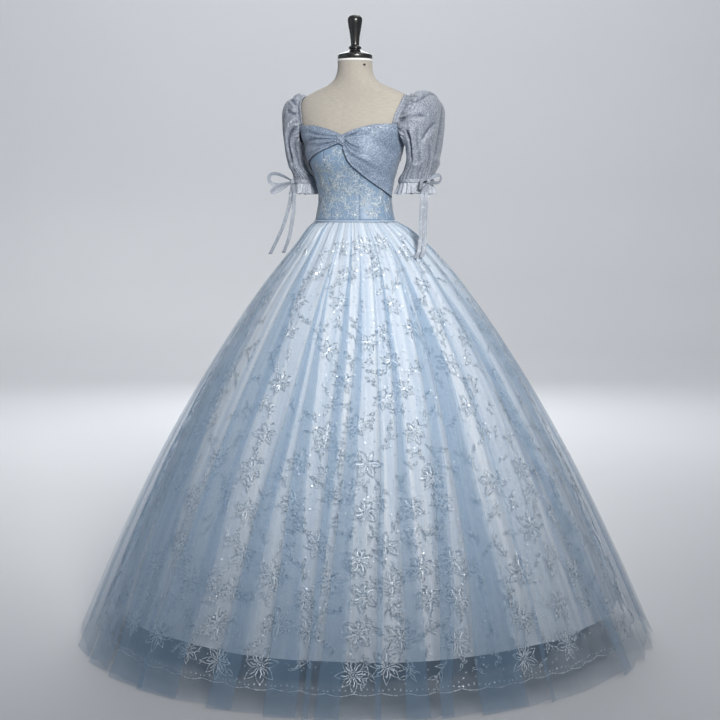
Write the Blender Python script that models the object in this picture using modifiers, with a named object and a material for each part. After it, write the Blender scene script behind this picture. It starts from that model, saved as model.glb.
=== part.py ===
"""Ball gown with puff sleeves and a three-layer skirt, worn by a limbless dress form on a pole stand.

Metres, +Z up, the front towards -Y. The origin is on the floor, in the middle of the hem, and the
form's axis stands FORM_AXIS_Y in front of it. Left and right are the wearer's: her left is +X.
A turn is an angle about the form's axis, from 0 at the front centre to 90 degrees at her left side.
"""

import math
from collections import namedtuple

import bmesh
import bpy
import numpy as np
from mathutils import Vector
from mathutils.bvhtree import BVHTree

# ---------------------------------------------------------------- driving dimensions
FORM_AXIS_Y = -0.085
WAIST_SEAM = 1.1440  # height of the seam between bodice and skirt
HEM_HEIGHT = 0.0030  # the outer skirt just clears the floor that the stand rests on
SEAM_GAP = 0.0004  # between pieces that are sewn edge to edge
BODICE_WALL = 0.0015
SKIRT_WALL = 0.0012
BODICE_EASE = 0.0031  # between the form and the bodice
DRAPE_EASE = 0.0063  # between the form and the bust drape
STRAP_EASE = 0.0026

# The form, one row for each level: squareness 2 is an ellipse, more is boxier.
FormRing = namedtuple("FormRing", "height half_width front back squareness")
FORM_RINGS = (
    FormRing(0.8240, 0.104, 0.066, 0.080, 2.1),
    FormRing(0.8360, 0.126, 0.086, 0.100, 2.1),
    FormRing(0.9240, 0.148, 0.098, 0.113, 2.1),
    FormRing(1.0240, 0.146, 0.098, 0.110, 2.1),
    FormRing(1.0840, 0.126, 0.089, 0.098, 2.1),
    FormRing(1.1440, 0.106, 0.080, 0.088, 2.1),
    FormRing(1.2040, 0.095, 0.075, 0.081, 2.1),
    FormRing(1.2540, 0.103, 0.086, 0.085, 2.2),
    FormRing(1.3040, 0.118, 0.101, 0.091, 2.3),
    FormRing(1.3490, 0.131, 0.101, 0.095, 2.4),
    FormRing(1.4040, 0.149, 0.092, 0.098, 2.5),
    FormRing(1.4440, 0.155, 0.076, 0.098, 2.4),
    FormRing(1.4640, 0.150, 0.063, 0.092, 2.3),
    FormRing(1.4770, 0.139, 0.053, 0.084, 2.2),
    FormRing(1.4910, 0.112, 0.047, 0.070, 2.1),
    FormRing(1.5040, 0.080, 0.045, 0.060, 2.0),
    FormRing(1.5190, 0.059, 0.044, 0.053, 2.0),
    FormRing(1.5390, 0.049, 0.044, 0.048, 2.0),
    FormRing(1.5730, 0.046, 0.045, 0.046, 2.0),
)
FORM_SIDES = 28
CUP_FULLNESS = 0.008  # how far the bust stands out of the rings above
CUP_SPREAD = 0.062  # from the centre front to the middle of a cup
CUP_WIDTH = 0.036
CUP_HEIGHT = 1.319
CUP_RISE = 0.042

# The neck cap and its turned finial, from the top down.
TurnedRow = namedtuple("TurnedRow", "radius height")
CAP_PROFILE = (
    TurnedRow(0.0000, 1.6905),
    TurnedRow(0.0130, 1.6880),
    TurnedRow(0.0198, 1.6800),
    TurnedRow(0.0190, 1.6680),
    TurnedRow(0.0140, 1.6400),
    TurnedRow(0.0112, 1.6100),
    TurnedRow(0.0165, 1.6065),
    TurnedRow(0.0175, 1.6025),
    TurnedRow(0.0130, 1.5990),
    TurnedRow(0.0240, 1.5930),
    TurnedRow(0.0455, 1.5850),
    TurnedRow(0.0468, 1.5825),
    TurnedRow(0.0468, 1.5755),
    TurnedRow(0.0455, 1.5735),
    TurnedRow(0.0000, 1.5735),
)
CAP_STEPS = 16

POLE_RADIUS = 0.0150
BASE_RADIUS = 0.1900
BASE_THICKNESS = 0.0080
BASE_EDGE = 0.0025

# The upper edge of the bodice: a dip between the cups, square corners front and back, low under the arm.
EdgeRow = namedtuple("EdgeRow", "turn height")
BODICE_TOP = (
    EdgeRow(0, 1.3680),
    EdgeRow(16, 1.3800),
    EdgeRow(34, 1.3900),
    EdgeRow(50, 1.3955),
    EdgeRow(64, 1.3955),
    EdgeRow(72, 1.3940),
    EdgeRow(80, 1.3670),
    EdgeRow(90, 1.3510),
    EdgeRow(100, 1.3670),
    EdgeRow(110, 1.3940),
    EdgeRow(124, 1.3940),
    EdgeRow(150, 1.3860),
    EdgeRow(180, 1.3820),
)

# The bodice panels, by the turns of their seams.
PanelRow = namedtuple("PanelRow", "name start end spans")
BODICE_PANELS = (
    PanelRow("bodice_center_front", -28, 28, 8),
    PanelRow("bodice_side_front_left", 28, 72, 5),
    PanelRow("bodice_back_left", 72, 180, 11),
    PanelRow("bodice_back_right", -180, -72, 11),
    PanelRow("bodice_side_front_right", -72, -28, 5),
)
BODICE_ROWS = 6

# The crossed bust drape: its lower edge on each side, by the turn away from the knot.
DrapeRow = namedtuple("DrapeRow", "turn lower upper")
DRAPE_LEFT = (
    DrapeRow(4, 1.3320, 1.3700),
    DrapeRow(10, 1.3040, 1.3750),
    DrapeRow(29, 1.2670, 1.3875),
    DrapeRow(51, 1.2395, 1.3955),
    DrapeRow(70, 1.2220, 1.3935),
    DrapeRow(80, 1.2140, 1.3670),
    DrapeRow(92, 1.2070, 1.3510),
)
DRAPE_RIGHT = (
    DrapeRow(4, 1.3470, 1.3700),
    DrapeRow(10, 1.3420, 1.3750),
    DrapeRow(29, 1.3270, 1.3875),
    DrapeRow(51, 1.3090, 1.3955),
    DrapeRow(70, 1.2930, 1.3935),
    DrapeRow(80, 1.2820, 1.3670),
    DrapeRow(92, 1.2680, 1.3510),
)
DRAPE_SPANS = 12
DRAPE_ROWS = 8
DRAPE_FOLDS = 4
FOLD_RISE = 0.0050  # height of a fold beside the knot
FOLD_REACH = 38.0  # turn over which the folds die out
KNOT_HEIGHT = 1.3570
KNOT_SIZE = (0.0058, 0.0070, 0.0150)  # half width, half depth, half height

# A puff sleeve on her left side, from the armhole down to the tie.
SleeveRow = namedtuple("SleeveRow", "place outer_x outer_z inner_x inner_z centre_y half_depth lean")
SLEEVE_RINGS = (
    SleeveRow(0.00, 0.1540, 1.4810, 0.1450, 1.3550, 0.010, 0.060, 0.026),
    SleeveRow(0.10, 0.1800, 1.4875, 0.1480, 1.3470, 0.014, 0.073, 0.026),
    SleeveRow(0.22, 0.2085, 1.4780, 0.1500, 1.3360, 0.021, 0.081, 0.022),
    SleeveRow(0.36, 0.2265, 1.4470, 0.1500, 1.3220, 0.028, 0.086, 0.016),
    SleeveRow(0.50, 0.2270, 1.4070, 0.1480, 1.3100, 0.034, 0.087, 0.010),
    SleeveRow(0.68, 0.2220, 1.3540, 0.1420, 1.2920, 0.041, 0.083, 0.004),
    SleeveRow(0.84, 0.2140, 1.3020, 0.1320, 1.2740, 0.046, 0.076, 0.000),
    SleeveRow(0.96, 0.1992, 1.2570, 0.1152, 1.2565, 0.050, 0.0662, 0.000),
    SleeveRow(1.00, 0.1990, 1.2495, 0.1150, 1.2495, 0.050, 0.0660, 0.000),
)
SLEEVE_PLACES = (1.0, 0.965, 0.86, 0.72, 0.58, 0.44, 0.31, 0.19, 0.09, 0.0)
SLEEVE_SIDES = 28
SLEEVE_GATHERS = 14
GATHER_RISE = 0.0024
SlackRow = namedtuple("SlackRow", "place slack")
RIGHT_SLACK = (  # her right sleeve stands out less
    SlackRow(0.0, 0.000),
    SlackRow(0.3, 0.017),
    SlackRow(0.6, 0.018),
    SlackRow(1.0, 0.010),
)
RUFFLE_DROP = 0.0330
RUFFLE_FLARE = 0.0110
RUFFLE_WAVE = 0.0045
TIE_HALF_WIDTH = 0.0050
TIE_EASE = 0.0027
STRAP_WIDTH = 0.0170
STRAP_END_TURN = 107.0  # round the armhole, from its top
STRAP_SPANS = 14

# The ribbon bows: how far below the knot's middle each loop starts, where it reaches from there, and
# how far it gapes above and below that.
RIBBON_WIDTH = 0.0100
RIBBON_WALL = 0.0010
BOW_KNOT_SIZE = (0.0062, 0.0062, 0.0070)
LoopRow = namedtuple("LoopRow", "name drop reach gape")
BOW_LEFT = (
    LoopRow("bow_loop_left_back", 0.0, (0.022, 0.044, 0.008), 0.008),
    LoopRow("bow_loop_left_front", 0.0, (-0.004, -0.048, -0.010), 0.008),
)
BOW_RIGHT = (
    LoopRow("bow_loop_right_upper", -0.0015, (-0.054, -0.036, 0.007), 0.015),
    LoopRow("bow_loop_right_lower", 0.0020, (-0.044, -0.040, -0.025), 0.006),
)
BOW_PLACES = {"left": (0.2058, 0.0100, 1.2495), "right": (-0.1790, -0.0160, 1.2495)}  # from the form's axis

# The routes of the free ribbon ends, on from under their knot, from the form's axis.
TAIL_ROUTES = {
    "tie_tail_left_outer": (
        (0.2060, -0.0120, 1.2190),
        (0.2050, -0.0160, 1.1840),
        (0.2040, -0.0170, 1.1340),
        (0.2040, -0.0190, 1.0940),
        (0.2030, -0.0260, 1.0660),
        (0.2010, -0.0360, 1.0490),
    ),
    "tie_tail_left_inner": (
        (0.1980, -0.0200, 1.2190),
        (0.1970, -0.0260, 1.1840),
        (0.1960, -0.0280, 1.1340),
        (0.1950, -0.0300, 1.0940),
        (0.1930, -0.0380, 1.0640),
        (0.1900, -0.0510, 1.0470),
    ),
    "tie_tail_right_outer": (
        (-0.1700, -0.0370, 1.2190),
        (-0.1720, -0.0390, 1.2030),
        (-0.1810, -0.0390, 1.1670),
        (-0.1950, -0.0390, 1.1270),
        (-0.2150, -0.0380, 1.0870),
        (-0.2340, -0.0370, 1.0520),
    ),
    "tie_tail_right_inner": (
        (-0.1600, -0.0400, 1.2190),
        (-0.1610, -0.0420, 1.2030),
        (-0.1620, -0.0430, 1.1670),
        (-0.1680, -0.0430, 1.1320),
        (-0.1760, -0.0430, 1.0950),
        (-0.1920, -0.0430, 1.0560),
    ),
}
TAIL_SPANS = 8
TAIL_FACING = (0.90, 0.42, 0.0)  # along the ribbon's width
TAIL_LAYERS = {"outer": -0.0009, "inner": 0.0009}  # one end lies before the other under the knot
LOOP_SPANS = 12

# The skirt's outline, over the crests of its folds. The middle moves back from the form's axis.
SkirtRing = namedtuple("SkirtRing", "height half_width half_depth centre_back")
SKIRT_RINGS = (
    SkirtRing(1.1428, 0.1136, 0.0919, 0.004),
    SkirtRing(1.1240, 0.1370, 0.1260, 0.024),
    SkirtRing(1.0900, 0.1700, 0.1680, 0.048),
    SkirtRing(1.0350, 0.2210, 0.2210, 0.064),
    SkirtRing(0.9530, 0.2880, 0.2880, 0.068),
    SkirtRing(0.7890, 0.4020, 0.4020, 0.075),
    SkirtRing(0.5170, 0.5640, 0.5640, 0.076),
    SkirtRing(0.2460, 0.6990, 0.6990, 0.080),
    SkirtRing(0.0000, 0.8080, 0.8080, 0.085),
)

# The skirt's layers: how far each hangs below and inside the outline, and its folds.
LayerRow = namedtuple(
    "LayerRow", "name hem waist_drop waist_inset hem_inset folds wave fold_sides panels phase"
)
SKIRT_LAYERS = (
    LayerRow("skirt_tulle", HEM_HEIGHT, 0.0000, 0.0000, 0.000, 36, 0.032, 5, 4, 0.0),
    LayerRow("skirt_embroidered", 0.0420, 0.0015, 0.0014, 0.038, 24, 0.014, 4, 2, 1.3),
    LayerRow("skirt_lining", 0.1120, 0.0030, 0.0028, 0.056, 12, 0.010, 4, 4, 2.1),
)
SKIRT_LEVELS = (1.1428, 1.1080, 1.0560, 0.9750, 0.7900, 0.4500)  # of the rows above each hem
FOLD_START = 0.03  # share of the drop over which the skirt is still flat
PANEL_NAMES = {2: ("left", "right"), 4: ("front_left", "back_left", "back_right", "front_right")}

Finish = namedtuple("Finish", "name colour roughness metallic")
LINEN = Finish("form_linen", (0.56, 0.50, 0.41, 1.0), 0.85, 0.0)
LACQUER = Finish("black_lacquer", (0.012, 0.012, 0.013, 1.0), 0.30, 0.0)
STEEL = Finish("brushed_pole", (0.55, 0.55, 0.57, 1.0), 0.35, 1.0)
IRON = Finish("base_iron", (0.03, 0.03, 0.032, 1.0), 0.50, 0.6)
BODICE_CLOTH = Finish("embroidered_bodice", (0.30, 0.40, 0.55, 1.0), 0.70, 0.0)
GLITTER_CLOTH = Finish("glitter_mesh", (0.33, 0.39, 0.50, 1.0), 0.55, 0.0)
TULLE = Finish("plain_tulle", (0.33, 0.45, 0.62, 1.0), 0.75, 0.0)
EMBROIDERY = Finish("embroidered_tulle", (0.52, 0.60, 0.70, 1.0), 0.70, 0.0)
SATIN = Finish("satin_lining", (0.74, 0.79, 0.86, 1.0), 0.45, 0.0)


# ---------------------------------------------------------------- tools
def clear_scene():
    """Empty the file of its start-up objects."""
    for thing in list(bpy.data.objects):
        bpy.data.objects.remove(thing, do_unlink=True)


def gown_collection():
    """The collection that holds every piece."""
    group = bpy.data.collections.new("ball_gown")
    bpy.context.scene.collection.children.link(group)
    return group


def dress(thing, finish):
    """Give a piece its own material, and shade it smooth."""
    material = bpy.data.materials.new(f"{thing.name}_{finish.name}")
    material.use_nodes = True
    shader = material.node_tree.nodes["Principled BSDF"]
    shader.inputs["Base Color"].default_value = finish.colour
    shader.inputs["Roughness"].default_value = finish.roughness
    shader.inputs["Metallic"].default_value = finish.metallic
    thing.data.materials.append(material)
    thing.data.shade_smooth()
    return thing


def piece(group, name, shape, finish):
    """A named object from a bmesh, which it frees."""
    mesh = bpy.data.meshes.new(name)
    shape.to_mesh(mesh)
    shape.free()
    thing = bpy.data.objects.new(name, mesh)
    group.objects.link(thing)
    return dress(thing, finish)


def smooth_column(rows, order_by, column):
    """A smooth function through one column of a table, flat where the column turns back."""
    ordered = sorted(rows, key=lambda row: getattr(row, order_by))
    xs = np.array([getattr(row, order_by) for row in ordered], float)
    ys = np.array([getattr(row, column) for row in ordered], float)
    steps = np.diff(ys) / np.diff(xs)
    slopes = np.concatenate([steps[:1], (steps[1:] + steps[:-1]) / 2, steps[-1:]])
    slopes[1:-1][steps[1:] * steps[:-1] <= 0] = 0.0

    def value(x):
        x = min(max(x, xs[0]), xs[-1])
        i = int(min(np.searchsorted(xs, x, side="right") - 1, len(xs) - 2))
        span = xs[i + 1] - xs[i]
        t = (x - xs[i]) / span
        start = ys[i] * (1 + 2 * t) * (1 - t) ** 2 + slopes[i] * span * t * (1 - t) ** 2
        end = ys[i + 1] * t * t * (3 - 2 * t) + slopes[i + 1] * span * t * t * (t - 1)
        return float(start + end)

    return value


def eased(t):
    """0 to 1 with no kink at either end."""
    t = min(max(t, 0.0), 1.0)
    return t * t * (3 - 2 * t)


def loft(rows, closed):
    """A bmesh sheet through rows of points, bottom row first, its outside where the rows turn left."""
    shape = bmesh.new()
    grid = [[shape.verts.new(point) for point in row] for row in rows]
    columns = len(rows[0])
    for lower, upper in zip(grid, grid[1:]):
        for i in range(columns if closed else columns - 1):
            j = (i + 1) % columns
            shape.faces.new((lower[i], lower[j], upper[j], upper[i]))
    return shape


def cloth(group, name, rows, wall, finish, closed=False, outward=1):
    """A sheet of cloth through rows of points, given its wall by Solidify."""
    thing = piece(group, name, loft(rows, closed), finish)
    thicken = thing.modifiers.new("wall", "SOLIDIFY")
    thicken.thickness = wall
    thicken.offset = outward
    thicken.use_quality_normals = True
    return thing


def mirrored(rows):
    """The rows of the other side's piece, with their outside still outward."""
    return [[Vector((-point.x, point.y, point.z)) for point in reversed(row)] for row in rows]


def seated(point, cover, half_size):
    """The middle of a small ball near a point, moved until it all but touches the pieces named."""
    seats = []
    for name in cover:
        tree = BVHTree.FromObject(bpy.data.objects[name], bpy.context.evaluated_depsgraph_get())
        seats.append(tree.find_nearest(point))
    seat, normal, *_ = min(seats, key=lambda found: found[3])
    normal = normal if normal.dot(point - seat) > 0 else -normal
    thick = math.sqrt(sum((half * part) ** 2 for half, part in zip(half_size, normal)))
    return seat + normal * (thick + SEAM_GAP)


def ridge(place, start, end):
    """How much of a wave stands at a place between its start and its full height."""
    return eased((place - start) / (end - start))


# ---------------------------------------------------------------- the dress form
FORM = {
    column: smooth_column(FORM_RINGS, "height", column)
    for column in ("half_width", "front", "back", "squareness")
}


def cup(x, height):
    """How far a cup stands forward."""
    across = math.exp(-(((abs(x) - CUP_SPREAD) / CUP_WIDTH) ** 2))
    return CUP_FULLNESS * across * math.exp(-(((height - CUP_HEIGHT) / CUP_RISE) ** 2))


def form_point(turn, height, ease=0.0):
    """A point on the form, or on cloth that lies over it by its ease."""
    angle = math.radians(turn)
    along_x, along_y = math.sin(angle), -math.cos(angle)
    depth = FORM["front" if along_y < 0 else "back"](height)
    power = FORM["squareness"](height)
    half_width = FORM["half_width"](height)
    reach = (abs(along_x) / half_width) ** power + (abs(along_y) / depth) ** power
    radius = reach ** (-1 / power) + ease
    x, y = radius * along_x, radius * along_y
    if along_y < 0:
        y -= cup(x, height) * -along_y
    return Vector((x, FORM_AXIS_Y + y, height))


def form_torso(group):
    """The covered body of the form, from the neck to the hips, closed at both ends."""
    turns = [360 * i / FORM_SIDES for i in range(FORM_SIDES)]
    heights = [ring.height for ring in FORM_RINGS]
    shape = loft([[form_point(turn, height) for turn in turns] for height in heights], True)
    bmesh.ops.holes_fill(shape, edges=[edge for edge in shape.edges if edge.is_boundary])
    bmesh.ops.recalc_face_normals(shape, faces=shape.faces)
    return piece(group, "form_torso", shape, LINEN)


def form_neck_cap(group):
    """The black cap with its turned finial."""
    outline = bmesh.new()
    points = [outline.verts.new((row.radius, 0, row.height)) for row in CAP_PROFILE]
    for start, end in zip(points, points[1:]):
        outline.edges.new((start, end))
    thing = piece(group, "form_neck_cap", outline, LACQUER)
    turned = thing.modifiers.new("turned", "SCREW")
    turned.steps = turned.render_steps = CAP_STEPS
    turned.use_merge_vertices = True
    turned.merge_threshold = 0.0001
    turned.use_smooth_shade = True
    thing.location = (0, FORM_AXIS_Y, SEAM_GAP)
    return thing


def form_stand(group):
    """The pole and the round plate that the whole part stands on."""
    plate = bmesh.new()
    bmesh.ops.create_cone(
        plate, cap_ends=True, segments=24, radius1=BASE_RADIUS, radius2=BASE_RADIUS, depth=BASE_THICKNESS
    )
    top = [edge for edge in plate.edges if all(vert.co.z > 0 for vert in edge.verts)]
    bmesh.ops.bevel(
        plate, geom=top, offset=BASE_EDGE, segments=2, profile=0.5, affect="EDGES", material=-1
    )
    base = piece(group, "form_base", plate, IRON)
    base.location = (0, FORM_AXIS_Y, BASE_THICKNESS / 2)
    foot, head = BASE_THICKNESS + SEAM_GAP, FORM_RINGS[0].height - SEAM_GAP
    tube = bmesh.new()
    bmesh.ops.create_cone(
        tube, cap_ends=True, segments=20, radius1=POLE_RADIUS, radius2=POLE_RADIUS, depth=head - foot
    )
    pole = piece(group, "form_pole", tube, STEEL)
    pole.location = (0, FORM_AXIS_Y, (head + foot) / 2)
    return base, pole


# ---------------------------------------------------------------- bodice, drape and straps
BODICE_EDGE = smooth_column(BODICE_TOP, "turn", "height")


def seam_turn(turn, towards):
    """A seam's turn, moved off it by half the gap that parts two panels."""
    return turn + towards * math.degrees(SEAM_GAP / 2 / FORM["half_width"](WAIST_SEAM))


def bodice(group):
    """The five panels that fit the form, cut to the neckline and armholes."""
    for panel in BODICE_PANELS:
        start, end = seam_turn(panel.start, 1), seam_turn(panel.end, -1)
        turns = np.linspace(start, end, panel.spans + 1)
        rows = [
            [
                form_point(
                    turn,
                    WAIST_SEAM + share * (BODICE_EDGE(abs(turn)) - WAIST_SEAM),
                    BODICE_EASE,
                )
                for turn in turns
            ]
            for share in np.linspace(0, 1, BODICE_ROWS + 1)
        ]
        cloth(group, panel.name, rows, BODICE_WALL, BODICE_CLOTH)


def drape_rows(table, side):
    """The rows of one half of the bust drape, whose folds fan out of the knot."""
    lower = smooth_column(table, "turn", "lower")
    upper = smooth_column(table, "turn", "upper")
    turns = np.linspace(table[0].turn, table[-1].turn, DRAPE_SPANS + 1)
    rows = []
    for share in np.linspace(0, 1, DRAPE_ROWS + 1):
        row = []
        for turn in turns:
            height = lower(turn) + share * (upper(turn) - lower(turn))
            fade = math.exp(-(((turn - table[0].turn) / FOLD_REACH) ** 2))
            wave = 0.5 - 0.5 * math.cos(2 * math.pi * DRAPE_FOLDS * share)
            row.append(form_point(side * turn, height, DRAPE_EASE + FOLD_RISE * fade * wave))
        rows.append(row if side > 0 else row[::-1])
    return rows


def bust_drape(group):
    """The crossed drape: two gathered halves and the knot that draws them together."""
    cloth(group, "drape_left", drape_rows(DRAPE_LEFT, 1), BODICE_WALL, GLITTER_CLOTH)
    cloth(group, "drape_right", drape_rows(DRAPE_RIGHT, -1), BODICE_WALL, GLITTER_CLOTH)
    ball = bmesh.new()
    bmesh.ops.create_uvsphere(ball, u_segments=10, v_segments=7, radius=1.0)
    bmesh.ops.scale(ball, vec=KNOT_SIZE, verts=ball.verts)
    knot = piece(group, "drape_knot", ball, GLITTER_CLOTH)
    knot.location = seated(form_point(0, KNOT_HEIGHT, 0.03), ["bodice_center_front"], KNOT_SIZE)
    return knot


SLEEVE = {
    column: smooth_column(SLEEVE_RINGS, "place", column) for column in SleeveRow._fields[1:]
}
SLACK = {1: lambda place: 0.0, -1: smooth_column(RIGHT_SLACK, "place", "slack")}


def sleeve_point(side, place, turn, out=0.0):
    """A point on a sleeve, both drawn on her left: place runs from armhole to tie, turn round it."""
    ring = {column: value(place) for column, value in SLEEVE.items()}
    outer = Vector((ring["outer_x"] - SLACK[side](place), ring["lean"], ring["outer_z"]))
    inner = Vector((ring["inner_x"], -ring["lean"], ring["inner_z"]))
    centre = (outer + inner) / 2 + Vector((0, FORM_AXIS_Y + ring["centre_y"], 0))
    angle = math.radians(turn)
    arm = (outer - inner) / 2 * math.cos(angle) + Vector((0, ring["half_depth"] * math.sin(angle), 0))
    gather = GATHER_RISE * math.cos(SLEEVE_GATHERS * angle)
    gather *= max(1 - place / 0.3, (place - 0.7) / 0.3 * 0.4, 0.0) * min(1.0, place * 12 + 0.2)
    return centre + arm * (1 + (gather + out) / arm.length)


def armhole_strap(side):
    """The rows of the narrow band over one shoulder, from its inner edge on the form to the armhole."""
    outer = [
        sleeve_point(side, 0, turn) + Vector((-4 * SEAM_GAP, 0, 0))
        for turn in np.linspace(-STRAP_END_TURN, STRAP_END_TURN, STRAP_SPANS + 1)
    ]
    form = bpy.data.objects["form_torso"]
    surface = BVHTree.FromObject(form, bpy.context.evaluated_depsgraph_get())
    rows = [outer]
    for share in (0.5, 1.0):
        row = []
        for point in outer:
            inboard = point + Vector((-STRAP_WIDTH * share, 0, 0))
            seat, normal, *_ = surface.find_nearest(inboard)
            lifted = seat + normal * STRAP_EASE
            above = (inboard - seat).length * (1 - share)
            row.append(lifted + normal * above)
        rows.append(row)
    return rows if side > 0 else mirrored(rows)


def sleeves(group):
    """On each side: the strap, the puff, its frill, and the tie that gathers it."""
    turns = [360 * i / SLEEVE_SIDES for i in range(SLEEVE_SIDES)]
    for name, side in (("left", 1), ("right", -1)):
        puff = [[sleeve_point(side, place, turn) for turn in turns] for place in SLEEVE_PLACES]
        frill = []
        for share, flare in ((1.0, 1.0), (0.2, 0.0), (0.0, 0.0)):
            drop = Vector((0, 0, -SEAM_GAP - RUFFLE_DROP * share))
            frill.append(
                [
                    sleeve_point(side, 1, turn, flare * (RUFFLE_FLARE + RUFFLE_WAVE * (-1) ** i)) + drop
                    for i, turn in enumerate(turns)
                ]
            )
        tie = [
            [sleeve_point(side, 1, turn, TIE_EASE) + Vector((0, 0, rise)) for turn in turns]
            for rise in (-TIE_HALF_WIDTH, TIE_HALF_WIDTH)
        ]
        shapes = {
            "sleeve": (puff, BODICE_WALL),
            "cuff_frill": (frill, SKIRT_WALL),
            "tie_band": (tie, RIBBON_WALL),
        }
        for part, (rows, wall) in shapes.items():
            rows = rows if side > 0 else mirrored(rows)
            cloth(group, f"{part}_{name}", rows, wall, GLITTER_CLOTH, closed=True)
        cloth(group, f"strap_{name}", armhole_strap(side), SKIRT_WALL, GLITTER_CLOTH)


# ---------------------------------------------------------------- bows and ribbon ends
def ribbon(group, name, middle, across):
    """A flat ribbon along the points of its middle, its width along the vectors across it."""
    rows = [
        [point + sign * half for point, half in zip(middle, across)] for sign in (-1, 1)
    ]
    return cloth(group, name, rows, RIBBON_WALL, GLITTER_CLOTH, outward=0)


def bow_loop(group, knot, loop):
    """One loop of a bow: out along its reach and back."""
    reach, opening = Vector(loop.reach), Vector((0, 0, loop.gape))
    width = reach.cross(opening).normalized() * (RIBBON_WIDTH / 2)
    root = knot - Vector((0, 0, loop.drop))

    def centre(share):
        across = math.sin(2 * math.pi * share)
        return root + reach * math.sin(math.pi * share) + opening * across

    def clear(share):
        away = centre(share) - knot
        return sum((part / (half + SEAM_GAP)) ** 2 for part, half in zip(away, BOW_KNOT_SIZE)) > 1

    fine = np.linspace(0, 1, 801)
    outside = [share for share in fine if clear(share)]
    middle = [centre(share) for share in np.linspace(outside[0], outside[-1], LOOP_SPANS + 1)]
    ribbon(group, loop.name, middle, [width] * len(middle))


def bows(group):
    """The two bows: a knot, two loops and two hanging ends each."""
    for name, loops in (("left", BOW_LEFT), ("right", BOW_RIGHT)):
        place = Vector(BOW_PLACES[name]) + Vector((0, FORM_AXIS_Y, 0))
        place = seated(place, [f"tie_band_{name}"], BOW_KNOT_SIZE)
        ball = bmesh.new()
        bmesh.ops.create_uvsphere(ball, u_segments=8, v_segments=6, radius=1.0)
        bmesh.ops.scale(ball, vec=BOW_KNOT_SIZE, verts=ball.verts)
        knot = piece(group, f"bow_knot_{name}", ball, GLITTER_CLOTH)
        knot.location = place
        for loop in loops:
            bow_loop(group, place, loop)
        half = Vector(TAIL_FACING).normalized() * (RIBBON_WIDTH / 2)
        forward = Vector((0, 0, 1)).cross(half).normalized() * -1
        for layer, offset in TAIL_LAYERS.items():
            end = f"tie_tail_{name}_{layer}"
            below = Vector((0, 0, -BOW_KNOT_SIZE[2] - SEAM_GAP))
            start = place + below + forward * offset
            points = [Vector((x, FORM_AXIS_Y + y, z)) for x, y, z in TAIL_ROUTES[end]]
            middle = smooth_route([start, *points], TAIL_SPANS)
            ribbon(group, end, middle, [half] * len(middle))


def smooth_route(knots, spans):
    """Points along a smooth curve through a route."""
    ends = [2 * knots[0] - knots[1], *knots, 2 * knots[-1] - knots[-2]]
    route = []
    for share in np.linspace(0, len(knots) - 1, spans + 1):
        i = min(int(share), len(knots) - 2)
        t = share - i
        a, b, c, d = ends[i : i + 4]
        route.append(
            0.5 * (2 * b + (c - a) * t + (2 * a - 5 * b + 4 * c - d) * t**2 + (3 * b - a - 3 * c + d) * t**3)
        )
    return route


# ---------------------------------------------------------------- skirt
SKIRT = {
    column: smooth_column(SKIRT_RINGS, "height", column)
    for column in ("half_width", "half_depth", "centre_back")
}


def skirt_point(turn, height, inset):
    """A point inside the skirt's outline by its inset."""
    angle = math.radians(turn)
    x = (SKIRT["half_width"](height) - inset) * math.sin(angle)
    y = -(SKIRT["half_depth"](height) - inset) * math.cos(angle)
    return Vector((x, FORM_AXIS_Y + SKIRT["centre_back"](height) + y, height))


def fold_phase(turn, layer):
    """How many folds there are from the front centre to a turn: folds are not quite evenly spaced."""
    angle = math.radians(turn)
    sway = 0.14 * math.sin(3 * angle + layer.phase) + 0.09 * math.sin(7 * angle + 2 * layer.phase)
    return layer.folds * turn / 360 + sway


def fold_turns(layer):
    """The turns at which a layer's columns stand, so that each fold has the same few columns."""
    fine = np.linspace(-30, 420, 4501)
    phases = np.array([fold_phase(turn, layer) for turn in fine])
    start = math.ceil(fold_phase(0, layer))
    wanted = start + np.arange(layer.folds * layer.fold_sides + 1) / layer.fold_sides
    return np.interp(wanted, phases, fine)


def layer_point(layer, turn, height):
    """A point on a skirt layer, whose folds deepen from waist to hem."""
    fall = (SKIRT_RINGS[0].height - height) / SKIRT_RINGS[0].height
    inset = layer.waist_inset + (layer.hem_inset - layer.waist_inset) * eased(fall) ** 0.8
    depth = layer.wave * (0.80 + 0.20 * math.sin(5 * math.radians(turn) + layer.phase))
    depth *= ridge(fall, FOLD_START, 1.0) ** 0.7
    crest = 0.5 + 0.5 * math.cos(2 * math.pi * fold_phase(turn, layer))
    drop = Vector((0, 0, layer.waist_drop * (1 - eased(fall / 0.5))))
    return skirt_point(turn, height, inset + depth * (1 - crest)) - drop


def skirt(group):
    """The three layers of the skirt, each in panels that meet at the crest of a fold."""
    finishes = {"skirt_tulle": TULLE, "skirt_embroidered": EMBROIDERY, "skirt_lining": SATIN}
    for layer in SKIRT_LAYERS:
        turns = fold_turns(layer)
        columns = len(turns) // layer.panels
        heights = (layer.hem, *SKIRT_LEVELS[::-1])
        for i, name in enumerate(PANEL_NAMES[layer.panels]):
            own = turns[i * columns : (i + 1) * columns + 1]
            rows = []
            for height in heights:
                parting = math.degrees(SEAM_GAP / 2 / SKIRT["half_width"](height))
                own_turns = [own[0] + parting, *own[1:-1], own[-1] - parting]
                rows.append([layer_point(layer, turn, height) for turn in own_turns])
            cloth(group, f"{layer.name}_{name}", rows, SKIRT_WALL, finishes[layer.name])


def main():
    """Build the form, then the gown on it from the bodice out."""
    clear_scene()
    group = gown_collection()
    form_torso(group)
    form_neck_cap(group)
    form_stand(group)
    bpy.context.view_layer.update()
    bodice(group)
    bust_drape(group)
    sleeves(group)
    bows(group)
    skirt(group)


main()
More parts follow.
